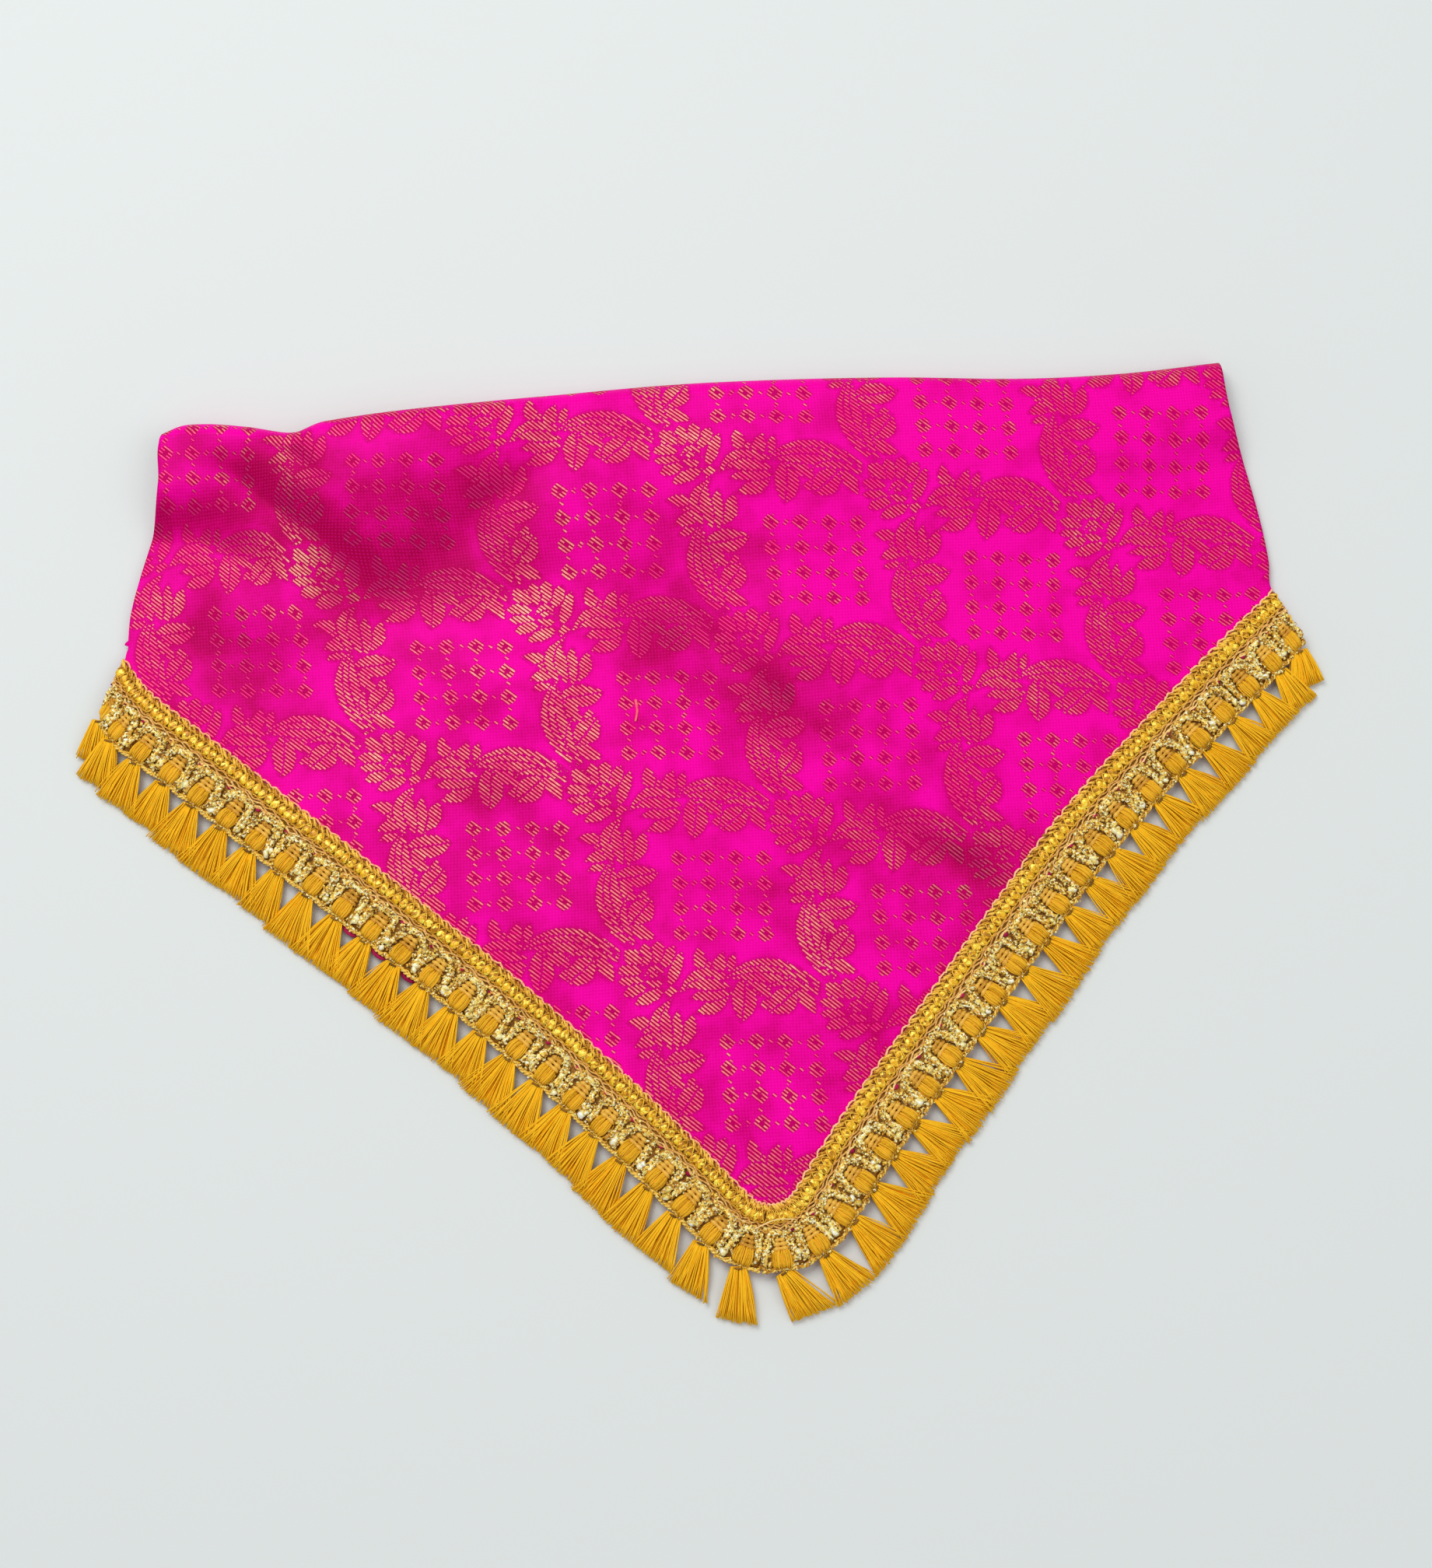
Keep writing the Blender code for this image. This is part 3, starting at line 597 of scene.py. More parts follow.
def colour(code):
    """An sRGB hex value as linear red, green, blue and alpha."""
    parts = [int(code[i : i + 2], 16) / 255 for i in (1, 3, 5)]
    linear = [p / 12.92 if p <= 0.04045 else ((p + 0.055) / 1.055) ** 2.4 for p in parts]
    return (*linear, 1.0)


def fill(tree, made, sockets):
    """Fills sockets by number or name: a node or an output is linked, the rest are values."""
    for key, value in sockets.items():
        if isinstance(value, bpy.types.Node):
            value = value.outputs[0]
        if isinstance(value, bpy.types.NodeSocket):
            tree.links.new(value, made.inputs[key])
        else:
            made.inputs[key].default_value = value


def node(tree, kind, *given, **settings):
    """Adds a node of this kind and operation, with its sockets given in order or in a dict."""
    kind, *operation = kind.split()
    made = tree.nodes.new("ShaderNode" + kind)
    if operation:
        made.operation = operation[0]
    for name, value in settings.items():
        setattr(made, name, value)
    for place, value in enumerate(given):
        fill(tree, made, value if isinstance(value, dict) else {place: value})
    return made


def new_material(name):
    """A material with its Principled shader, and the node tree to add to."""
    made = bpy.data.materials.new(name)
    made.use_nodes = True
    return made, made.node_tree, made.node_tree.nodes["Principled BSDF"]


def ramp(tree, value, stops):
    """A smooth row of colours, each at its place from 0 to 1."""
    made = node(tree, "ValToRGB", value)
    elements = made.color_ramp.elements
    while len(elements) < len(stops):
        elements.new(0.5)
    for element, (place, code) in zip(elements, stops):
        element.position = place
        element.color = colour(code)
    return made


def leaf_group():
    """A leaf drawn as a lens on a bowed chord.

    It gives how far inside the leaf a place is, and how far from its vein, in mm.
    """
    group = bpy.data.node_groups.new("woven leaf", "ShaderNodeTree")
    add = partial(node, group)
    for name in ("Place", "Middle", "Way", "Side"):
        group.interface.new_socket(name, in_out="INPUT", socket_type="NodeSocketVector")
    for name in ("Bulge", "Half", "Tip"):
        group.interface.new_socket(name, in_out="INPUT", socket_type="NodeSocketFloat")
    for name in ("Inside", "Off Vein"):
        group.interface.new_socket(name, in_out="OUTPUT", socket_type="NodeSocketFloat")
    given = group.nodes.new("NodeGroupInput").outputs
    offset = add("VectorMath SUBTRACT", given["Place"], given["Middle"])
    along = add("VectorMath DOT_PRODUCT", offset, given["Way"])
    across = add("VectorMath DOT_PRODUCT", offset, given["Side"])
    off_middle = add("Math ABSOLUTE", along.outputs["Value"])
    narrowing = add("Math POWER", off_middle, given["Tip"])
    hump = add("Math SUBTRACT", 1.0, narrowing)
    bow = add("Math MULTIPLY", hump, given["Bulge"])
    from_bow = add("Math SUBTRACT", across.outputs["Value"], bow)
    away = add("Math ABSOLUTE", from_bow)
    wide = add("Math MULTIPLY", hump, given["Half"])
    inside = add("Math SUBTRACT", wide, away)
    result = group.nodes.new("NodeGroupOutput")
    group.links.new(inside.outputs[0], result.inputs[0])
    group.links.new(away.outputs[0], result.inputs[1])
    return group


def woven_leaves(tree, group, place, leaves, tip):
    """How far inside these leaves a place is, in mm. Each leaf clears a little of those behind."""
    add = partial(node, tree)
    inside = add("Value")
    inside.outputs[0].default_value = -1.0
    for leaf in leaves:
        way = Vector((leaf.x2 - leaf.x1, leaf.y2 - leaf.y1, 0.0))
        sockets = {
            "Place": place,
            "Middle": ((leaf.x1 + leaf.x2) / 2, (leaf.y1 + leaf.y2) / 2, 0.0),
            "Way": way * 2 / way.length_squared,
            "Side": Vector((-way.y, way.x, 0.0)).normalized(),
            "Bulge": leaf.bulge,
            "Half": leaf.half,
            "Tip": tip,
        }
        drawn = add("Group", sockets, node_tree=group)
        cleared = add("Math MULTIPLY_ADD", drawn, -1.0, -LEAF_GAP)
        inside = add("Math MINIMUM", inside, cleared)
        if leaf.vein:
            from_vein = add("Math SUBTRACT", drawn.outputs[1], leaf.vein)
            drawn = add("Math MINIMUM", drawn, from_vein)
        inside = add("Math MAXIMUM", inside, drawn)
    return inside


def brocade():
    """Hot pink silk with metal-wrapped weft: a satin ground under slanting gold lines.

    The lines are painted from copper pink, as painted shade, to pale gold, as painted highlight
    where the cloth leans to the light; the satin ground gets painted shade too.
    """
    made, tree, shader = new_material("silk brocade with copper-gold weft")
    add = partial(node, tree)
    flat = add("UVMap", uv_map="flat")
    across_way = Vector((-math.sin(TWILL_TURN), math.cos(TWILL_TURN), 0.0))
    along_way = Vector((math.cos(TWILL_TURN), math.sin(TWILL_TURN), 0.0))

    # Each gold thread is on or off as a whole, so its place is taken at the thread's middle
    across = add("VectorMath DOT_PRODUCT", flat, across_way)
    count = add("Math DIVIDE", across.outputs["Value"], TWILL)
    phase = add("Math FRACT", count)
    from_middle = add("Math SUBTRACT", 0.5, phase)
    to_middle = add("VectorMath SCALE", across_way * TWILL, {"Scale": from_middle})
    snapped = add("VectorMath ADD", flat, to_middle)

    # Shares of the repeat across and down the cloth
    start = add("VectorMath SUBTRACT", snapped, REPEAT_START.to_3d())
    turn = REPEAT_A.x * REPEAT_B.y - REPEAT_A.y * REPEAT_B.x
    row_a = Vector((REPEAT_B.y, -REPEAT_B.x, 0.0)) / turn
    row_b = Vector((-REPEAT_A.y, REPEAT_A.x, 0.0)) / turn
    share_a = add("VectorMath DOT_PRODUCT", start, row_a)
    share_b = add("VectorMath DOT_PRODUCT", start, row_b)
    share_a, share_b = share_a.outputs["Value"], share_b.outputs["Value"]

    def wrapped(shift_a, shift_b):
        """The place from the nearest point of the repeat, shifted by these shares."""
        parts = []
        for share, shift, side in ((share_a, shift_a, REPEAT_A), (share_b, shift_b, REPEAT_B)):
            moved = add("Math ADD", share, 0.5 - shift)
            whole = add("Math FRACT", moved)
            centred = add("Math SUBTRACT", whole, 0.5)
            parts.append(add("VectorMath SCALE", side.to_3d(), {"Scale": centred}))
        return add("VectorMath ADD", *parts)

    near_flower = wrapped(0.0, 0.0)
    place = add("SeparateXYZ", near_flower)

    # Sprays: one runs across from flower to flower, its mirror image runs down
    lie_a = add("Math MULTIPLY", place.outputs[0], -REPEAT_A.y / REPEAT_A.x)
    off_a = add("Math ADD", place.outputs[1], lie_a)
    run_a = add("Math DIVIDE", place.outputs[0], REPEAT_A.x)
    lie_b = add("Math MULTIPLY", place.outputs[1], REPEAT_B.x / REPEAT_B.y)
    off_b = add("Math SUBTRACT", lie_b, place.outputs[0])
    run_b = add("Math DIVIDE", place.outputs[1], REPEAT_B.y)
    size_a = add("Math ABSOLUTE", off_a)
    size_b = add("Math ABSOLUTE", off_b)
    down = add("Math LESS_THAN", size_b, size_a)
    run = add("Mix", down, {2: run_a, 3: run_b})
    off = add("Mix", down, {2: off_a, 3: off_b})
    turned = add("Math FLOORED_MODULO", run, 1.0)
    long = add("Math MULTIPLY", turned, SPRAY_LONG)
    spray_place = add("CombineXYZ", long, off)
    group = leaf_group()
    spray = woven_leaves(tree, group, spray_place, SPRAY, POINTED)

    # Flower: petals open towards the stem at the lower right, round a curled heart
    flower = woven_leaves(tree, group, near_flower, PETALS, BLUNT)
    leaves = add("Math MAXIMUM", flower, spray)
    speck = add("TexNoise", {"Vector": flat, "Scale": 1.1, "Detail": 2.0}, noise_dimensions="2D")
    ragged = add("Math MULTIPLY_ADD", speck, 0.9, -0.45)
    leaves = add("Math ADD", leaves, ragged)

    # Square of sixteen pierced diamonds, with dots midway between them
    lattice_a = row_a.dot(LATTICE.to_3d())
    lattice_b = row_b.dot(LATTICE.to_3d())
    square = add("SeparateXYZ", wrapped(lattice_a, lattice_b))
    level = add("Math MULTIPLY_ADD", square, DIAMOND_LEAN, square.outputs[1])
    halves = []
    for value, size in ((square.outputs[0], DIAMOND_X), (level, DIAMOND_Y)):
        cells = add("Math DIVIDE", value, size)
        room = add("Math ABSOLUTE", cells)
        cell = add("Math FRACT", cells)
        to_half = add("Math SUBTRACT", cell, 0.5)
        to_half = add("Math ABSOLUTE", to_half)
        to_whole = add("Math SUBTRACT", 0.5, to_half)
        far_whole = add("Math MULTIPLY", to_whole, size)
        far_half = add("Math MULTIPLY", to_half, size)
        halves.append((room, far_whole, far_half))
    (room_x, whole_x, half_x), (room_y, whole_y, half_y) = halves
    ring = add("Math ADD", half_x, half_y)
    ring = add("Math MULTIPLY", ring, DIAMOND_BLUNT)
    square_ring = add("Math MAXIMUM", half_x, half_y)
    ring = add("Math MAXIMUM", ring, square_ring)
    ring_out = add("Math SUBTRACT", DIAMOND_OUT, ring)
    ring_in = add("Math SUBTRACT", ring, DIAMOND_IN)
    ring = add("Math MINIMUM", ring_out, ring_in)
    wide = add("Math MAXIMUM", room_x, room_y)
    ring_room = add("Math SUBTRACT", DIAMONDS_REACH, wide)
    pierced = add("Math MINIMUM", ring_out, ring_room)
    ring = add("Math MINIMUM", ring, ring_room)
    dots = []
    for one, other in ((whole_x, half_y), (half_x, whole_y)):
        far = add("Math ADD", one, other)
        dots.append(add("Math SUBTRACT", DOT, far))
    dots = add("Math MAXIMUM", *dots)
    dot_room = add("Math SUBTRACT", DOTS_REACH, wide)
    dots = add("Math MINIMUM", dots, dot_room)
    lattice = add("Math MAXIMUM", ring, dots)
    motif = add("Math MAXIMUM", leaves, lattice)
    gold_here = add("MapRange", motif, -0.05, 0.05)

    # Gold lines between crimson ones: a painted highlight makes them wider and paler gold, with
    # deeper crimson gaps, and where it is weak they are painted copper pink as painted shade
    slant = add("Math ABSOLUTE", from_middle)
    patchy = add("TexNoise", {"Vector": flat, "Scale": 0.09, "Detail": 2.0}, noise_dimensions="2D")
    painted_highlight = add("Attribute", attribute_name="painted_highlight")
    shine = add("Math MULTIPLY_ADD", patchy, 0.5, painted_highlight.outputs["Fac"])
    shine = add("Math MULTIPLY_ADD", speck, 0.9, shine)
    along = add("VectorMath DOT_PRODUCT", flat, along_way).outputs["Value"]
    bundle = add("CombineXYZ", across.outputs["Value"], along)
    bundle = add("VectorMath MULTIPLY", bundle, (0.55, 0.16, 1.0))
    streak = add("TexNoise", {"Vector": bundle, "Scale": 1.0, "Detail": 2.0}, noise_dimensions="2D")
    shine = add("Math MULTIPLY_ADD", streak, 0.9, shine)
    shine = add("MapRange", shine, 1.15, 2.15)
    reach = add("MapRange", shine, {3: LINE_THIN, 4: LINE_WIDE})
    reach_in = add("Math SUBTRACT", reach, LINE_SOFT)
    line = add("MapRange", slant, reach, reach_in)
    metal = ramp(
        tree, shine, ((0.0, "#FA3890"), (0.35, "#F85E88"), (0.7, "#FC8A8C"), (1.0, "#FFB2A0"))
    )
    gaps = ramp(tree, shine, ((0.0, "#C80058"), (0.4, "#AE0044"), (1.0, "#9E0032")))
    gold = add("Mix", {0: line, 6: gaps, 7: metal}, data_type="RGBA")

    # Satin ground: magenta, with painted shade that turns it crimson in the creases and on slopes
    # away from the light, a little cloudy, with fine light points
    tone = add("Attribute", attribute_name="tone")
    cloudy = add("Math MULTIPLY_ADD", patchy, 1.1, -0.55)
    cloudy = add("Math MULTIPLY_ADD", speck, 0.4, cloudy)
    cloudy = add("Math ADD", tone.outputs["Fac"], cloudy)
    cloudy = add("Math SUBTRACT", cloudy, 0.2)
    ground = ramp(
        tree, cloudy, ((0.0, "#A80044"), (0.35, "#C40060"), (0.7, "#E00086"), (1.0, "#F600A2"))
    )
    # Painted shade: the gold lines are darkened along with the satin
    lit = add("MapRange", tone.outputs["Fac"], 0.2, 0.8, 0.62, 1.0)
    gold = add("VectorMath SCALE", gold.outputs[2], {"Scale": lit})
    grid = {"Vector": flat, "Scale": 1 / GROUND, "Randomness": 0.1}
    points = add("TexVoronoi", grid, voronoi_dimensions="2D")
    point = add("MapRange", points, 0.36, 0.18, {4: 0.22})
    ground = add("Mix", {0: point, 6: ground, 7: colour("#FF24AE")}, data_type="RGBA")
    beside = add("MapRange", leaves, -1.0, 0.0, {4: 0.58})
    inside = add("MapRange", pierced, -0.1, 0.1, {4: 0.8})
    beside = add("Math MAXIMUM", beside, inside)
    ground = add("Mix", {0: beside, 6: ground.outputs[2], 7: colour("#B80050")}, data_type="RGBA")
    painted = add("Mix", {0: gold_here, 6: ground.outputs[2], 7: gold}, data_type="RGBA")
    metallic = add("Math MULTIPLY", gold_here, line)
    metallic = add("Math MULTIPLY", metallic, 0.25)
    raised = add("Math ADD", metallic, point)
    bump = add("Bump", {"Height": raised, "Strength": 0.4, "Distance": 0.0001})
    fill(tree, shader, {
        "Base Color": painted.outputs[2],
        "Metallic": metallic,
        "Roughness": 0.45,
        "Specular IOR Level": 0.02,
        "Normal": bump,
    })
    return made


def lining():
    """Plain woven polyester lining: deep pink, half matt, with a fine even weave."""
    made, tree, shader = new_material("plain woven lining")
    add = partial(node, tree)
    place = add("TexCoord").outputs["Object"]
    threads_here = {"Vector": place, "Scale": 420.0, "Distortion": 0.4}
    weave = add("TexWave", threads_here)
    cross = add("TexWave", threads_here, bands_direction="Y")
    both = add("Math MULTIPLY", weave.outputs[1], cross.outputs[1])
    cloudy = add("TexNoise", {"Vector": place, "Scale": 30.0})
    shade = add("Math MULTIPLY_ADD", both, 0.3, cloudy)
    tones = ramp(tree, shade, ((0.3, "#B8006A"), (0.8, "#DD0A86")))
    bump = add("Bump", {"Height": both, "Strength": 0.3, "Distance": 0.0001})
    looks = {"Base Color": tones, "Roughness": 0.55, "Sheen Weight": 0.2, "Normal": bump}
    fill(tree, shader, looks)
    return made


def spread_codes(codes, low, high):
    """These colours, evenly spaced between two places of a ramp."""
    return list(zip(np.linspace(low, high, len(codes)).tolist(), codes))


def thread_material(row):
    """Thread darker or lighter by its own value, which for the tassel strands also holds painted
    shade, mottled by its crimp, with lines of fibre where it has streaks.
    """
    made, tree, shader = new_material(row.name)
    add = partial(node, tree)
    place = add("TexCoord").outputs["Object"]
    crimp = add("TexNoise", {"Vector": place, "Scale": 1 / (row.grit * MM), "Detail": 2.0})
    thread = add("Attribute", attribute_name="thread")
    around, along, tone = add("SeparateXYZ", thread.outputs["Vector"]).outputs
    own = add("Math MULTIPLY_ADD", tone, 0.45, 0.02)
    shade = add("Math MULTIPLY_ADD", crimp, 0.75 - row.streak, own)
    if row.streak:
        around = add("Math MULTIPLY", around, row.fibres)
        fibre_place = add("CombineXYZ", around, along, tone)
        fibre = add("TexNoise", {"Vector": fibre_place, "Scale": 1.6, "Detail": 3.0})
        shade = add("Math MULTIPLY_ADD", fibre, 2 * row.streak, shade)
    fill(tree, shader, {
        "Base Color": ramp(tree, shade, spread_codes(row.codes, 0.25, 0.75)),
        "Metallic": row.metallic,
        "Specular IOR Level": 0.4 if row.metallic else 0.08,
        "Roughness": row.roughness,
        "Normal": add("Bump", {"Height": shade, "Strength": row.bump, "Distance": 0.0002}),
    })
    return made


def film_material_with_painted_glints(row):
    """Crinkled metal film: small flat facets, each painted light or dark at random as painted
    glints, over a slight bump.
    """
    made, tree, shader = new_material(row.name)
    add = partial(node, tree)
    place = add("TexCoord").outputs["Object"]
    facets = add("TexVoronoi", {"Vector": place, "Scale": 1 / (row.grain * MM)})
    parts = add("SeparateXYZ", facets.outputs["Color"])
    fill(tree, shader, {
        "Base Color": ramp(tree, parts, spread_codes(row.codes, 0.08, 0.92)),
        "Metallic": 0.12,
        "Specular IOR Level": 0.35,
        "Roughness": row.roughness,
        "Normal": add("Bump", {"Height": parts.outputs[1], "Strength": 0.9, "Distance": 0.0002}),
    })
    return made


def floor_material():
    """Plain white cotton: pale and matt, so that only the soft shadows show on it."""
    made, tree, shader = new_material("plain white cotton")
    fill(tree, shader, {"Base Color": colour("#DFE3E1"), "Roughness": 0.9})
    return made


# Cloth


def place_object(name, data):
    made = bpy.data.objects.new(name, data)
    bpy.context.scene.collection.objects.link(made)
    return made


def mesh_from(bm, name):
    mesh = bpy.data.meshes.new(name)
    bm.to_mesh(mesh)
    bm.free()
    return mesh


def add_piece(name, mesh, finish, nodes=()):
    """A shown piece, which rides with the bandana and stands for these nodes of the frame."""
    obj = place_object(name, mesh)
    for material in finish:
        mesh.materials.append(material)
    mesh.shade_smooth()
    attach(obj, "root")
    if nodes:
        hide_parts(*nodes)
    return obj


def grid_mesh(name, places, flat, tones=None):
    """A grid whose points stand at places[column, row], with its flat cut in mm as its UV map."""
    columns, rows = places.shape[0] - 1, places.shape[1] - 1
    bm = bmesh.new()
    bmesh.ops.create_grid(bm, x_segments=columns, y_segments=rows, size=1.0)
    mesh = mesh_from(bm, name)
    square = np.empty(len(mesh.vertices) * 3)
    mesh.vertices.foreach_get("co", square)
    column = np.rint((square[0::3] + 1) / 2 * columns).astype(int)
    row = np.rint((1 - square[1::3]) / 2 * rows).astype(int)
    mesh.vertices.foreach_set("co", places[column, row].ravel())
    corners = np.empty(len(mesh.loops), dtype=np.int32)
    mesh.loops.foreach_get("vertex_index", corners)
    layer = mesh.uv_layers.new(name="flat")
    layer.uv.foreach_set("vector", flat[column, row][corners].ravel())
    for key, values in (tones or {}).items():
        attribute = mesh.attributes.new(key, "FLOAT", "POINT")
        attribute.data.foreach_set("value", values[column, row])
    return mesh


def thicken(obj, thickness, inner_material=0):
    wall = obj.modifiers.new("wall", "SOLIDIFY")
    wall.thickness = thickness
    wall.offset = 1.0
    wall.material_offset = inner_material
    return obj


def panel_depths(long):
    """Depths of the rows below the roll, for columns of these lengths."""
    share = np.linspace(0.0, 1.0, FLAT_ROWS + 1)
    return ROLL + (long[:, None] - ROLL) * share


def pattern_place(places, rows_reached):
    """Where the pattern has each point, in mm: its plan, let out over the roll and tugged."""
    flat = places[..., :2] / MM
    flat[..., 1] += rows_reached / MM
    shift = np.zeros_like(flat)
    for pull in PULLS:
        away = np.hypot(flat[..., 0] - pull.x, flat[..., 1] - pull.y) / pull.spread
        shift += np.exp(-away * away)[..., None] * np.array((pull.dx, pull.dy))
    return flat - shift


def patches(places, rows):
    """What these soft round patches add at the places."""
    total = np.zeros(places.shape[:-1])
    for row in rows:
        away = np.hypot(places[..., 0] / MM - row.x, places[..., 1] / MM - row.y) / row.spread
        total += row.more * np.exp(-away * away)
    return total


def front_cloth(finish, inside):
    """Brocade front: it swells over the channel, rolls down at the top and lies in soft creases."""
    across = np.linspace(-1.0, 1.0, COLUMNS + 1)
    depths = panel_depths(panel_length(across))
    below = panel_place(across[:, None], depths)
    height = air_under(below, CREASES)
    angle = np.linspace(0.0, math.pi / 2, ROLL_ROWS, endpoint=False)
    roll_depth = CLOTH + (ROLL - CLOTH) * (1 - np.cos(angle))
    roll_place = panel_place(across[:, None], roll_depth)
    roll_height = SEAM + (height[:, :1] - SEAM) * np.sin(angle)
    plan = np.concatenate((roll_place, below), axis=1)
    rise = np.concatenate((np.broadcast_to(roll_height, roll_place.shape[:2]), height), axis=1)
    places = raised(plan, CLOTH + rise)

    extra = (norm(np.diff(places, axis=1)) - norm(np.diff(plan, axis=1)))[:, : ROLL_ROWS + 1]
    let_out = np.zeros(rise.shape)
    let_out[:, : ROLL_ROWS + 1] = np.cumsum(extra[:, ::-1], axis=1)[:, ::-1]
    flat = pattern_place(places, let_out)

    # Painted shade and highlight: where it leans to the light, at the upper left, the satin is
    # painted clearer and the metal brighter; the SHADES patches add painted shade and the GLINTS
    # patches painted glints
    slope_row = np.gradient(rise, axis=1) / np.maximum(1e-5, -np.gradient(plan[..., 1], axis=1))
    slope_column = np.gradient(rise, axis=0) / np.gradient(plan[..., 0], axis=0)
    lean = np.clip(slope_row - 0.4 * slope_column, -0.9, 0.25)
    tone = np.clip(0.90 + 0.8 * lean + patches(plan, SHADES), 0.0, 1.0)
    painted_highlight = np.clip(0.14 + 0.8 * lean + patches(plan, GLINTS), 0.0, 1.0)
    mesh = grid_mesh("front_cloth", places, flat, {"tone": tone, "painted_highlight": painted_highlight})
    obj = add_piece("front_cloth", mesh, (finish, inside), ("front_panel",))
    return thicken(obj, CLOTH, 1)


def back_cloth(finish):
    """Lining back: flat on the surface."""
    across = np.linspace(-1.0, 1.0, BACK_COLUMNS + 1)
    depths = panel_length(across)[:, None] * np.linspace(0.0, 1.0, BACK_ROWS + 1)
    plan = panel_place(across[:, None], depths)
    mesh = grid_mesh("back_cloth", raised(plan, 0.0), plan / MM)
    obj = add_piece("back_cloth", mesh, (finish,), ("back_panel",))
    return thicken(obj, CLOTH)


# Threads: one unit tube, copied for every thread and drawn along its path


def add_layer(stretch, name, mesh):
    """The mesh as a layer of this stretch of the trim."""
    layer = LAYERS[name]
    nodes = (layer.node + stretch.side,) if layer.node else ()
    finish = stretch.finishes[layer.finish]
    return add_piece(name + stretch.side, mesh, (finish,), nodes)


def unit_tube(sections, sides):
    """A closed tube of unit radius up Z, with a section at each whole height."""
    bm = bmesh.new()
    bmesh.ops.create_circle(bm, cap_ends=False, segments=sides, radius=1.0)
    up = (0.0, 0.0, 1.0)
    bmesh.ops.spin(bm, geom=bm.edges[:], axis=up, dvec=up, steps=sections - 1)
    bmesh.ops.holes_fill(bm, edges=bm.edges[:], sides=0)
    bmesh.ops.recalc_face_normals(bm, faces=bm.faces[:])
    return mesh_from(bm, "unit_tube")


def copies(template, count):
    """One mesh with this many copies of the template, in order."""
    source = place_object("template", template)
    row = source.modifiers.new("row", "ARRAY")
    row.count = count
    joined = bpy.data.meshes.new_from_object(
        source.evaluated_get(bpy.context.evaluated_depsgraph_get())
    )
    bpy.data.objects.remove(source, do_unlink=True)
    return joined


def threads(stretch, name, paths, radii, tones=None):
    """A layer's threads, along paths[thread, point] and of radii[thread, point]."""
    layer = LAYERS[name]
    paths = np.asarray(paths, float)
    count, sections = paths.shape[:2]
    radii = np.broadcast_to(np.asarray(radii, float), (count, sections))
    template = unit_tube(sections, layer.sides)
    shape = np.empty(len(template.vertices) * 3)
    template.vertices.foreach_get("co", shape)
    shape = shape.reshape(-1, 3)
    section = np.rint(shape[:, 2]).astype(int)
    way = unit(np.gradient(paths, axis=1))
    side = unit(np.cross(way, (0.0, 0.0, 1.0)))
    lift = np.cross(side, way)
    uneven = 1 + layer.crinkle * rng.standard_normal((count, len(shape)))
    radii = radii[:, section] * uneven
    wide = (radii * shape[:, 0])[..., None]
    high = (radii * shape[:, 1] * layer.flat)[..., None]
    points = paths[:, section] + side[:, section] * wide + lift[:, section] * high
    mesh = copies(template, count)
    mesh.name = name + stretch.side
    mesh.vertices.foreach_set("co", points.ravel())
    around = np.arctan2(shape[:, 0], shape[:, 1]) / (2 * math.pi) + 0.5
    tones = rng.random(count) if tones is None else tones
    grain = np.stack(matched(around, reached(paths)[:, section] / MM, tones[:, None]), axis=-1)
    attribute = mesh.attributes.new("thread", "FLOAT_VECTOR", "POINT")
    attribute.data.foreach_set("vector", grain.ravel())
    mesh.update()
    add_layer(stretch, name, mesh)


# Heights of the cloth's face under the trim, on a small grid with eight steps to a tassel
TRIM_GRID_LONG = np.linspace(0.0, TRIM_LONG, 8 * ALL_TASSELS + 1)
TRIM_GRID_OUT = np.linspace(0.0, CLOTH_OUT, 11)
TRIM_GRID = 2 * CLOTH + air_under(trim_place(TRIM_GRID_LONG[:, None], TRIM_GRID_OUT), CREASES)


def trim_point(lengths, outs, rise):
    """Points on the cloth's face under the trim, raised by so much."""
    lengths, outs, rise = matched(lengths, outs, rise)
    at_long = np.clip(lengths / TRIM_LONG, 0, 0.999999) * (len(TRIM_GRID_LONG) - 1)
    at_out = np.clip(outs / CLOTH_OUT, 0, 0.999999) * (len(TRIM_GRID_OUT) - 1)
    i, j = at_long.astype(int), at_out.astype(int)
    u, v = at_long - i, at_out - j
    top = (TRIM_GRID[i, j] * (1 - u) + TRIM_GRID[i + 1, j] * u) * (1 - v) + (
        TRIM_GRID[i, j + 1] * (1 - u) + TRIM_GRID[i + 1, j + 1] * u
    ) * v
    return raised(trim_place(lengths, outs), top + rise)


def trim_line(start, end, step):
    return np.linspace(start, end, max(2, round((end - start) / step)))


def plied(lengths, out, rise, radius, turn_long, phase):
    """The path of one ply of a twisted cord that runs along the trim."""
    angle = 2 * math.pi * lengths / turn_long + phase
    return trim_point(lengths, out + radius * np.cos(angle), rise + radius * np.sin(angle))


def backing(stretch, name, out_in, out_out):
    """The net that carries the threads, a thin strip on the cloth."""
    lengths = trim_line(stretch.start, stretch.end, 0.0015)
    outs = np.linspace(out_in, out_out, 5)
    places = trim_point(lengths[:, None], outs, SEAM / 3)
    mesh = grid_mesh(name + stretch.side, places, places[..., :2] / MM)
    thicken(add_layer(stretch, name, mesh), NET)


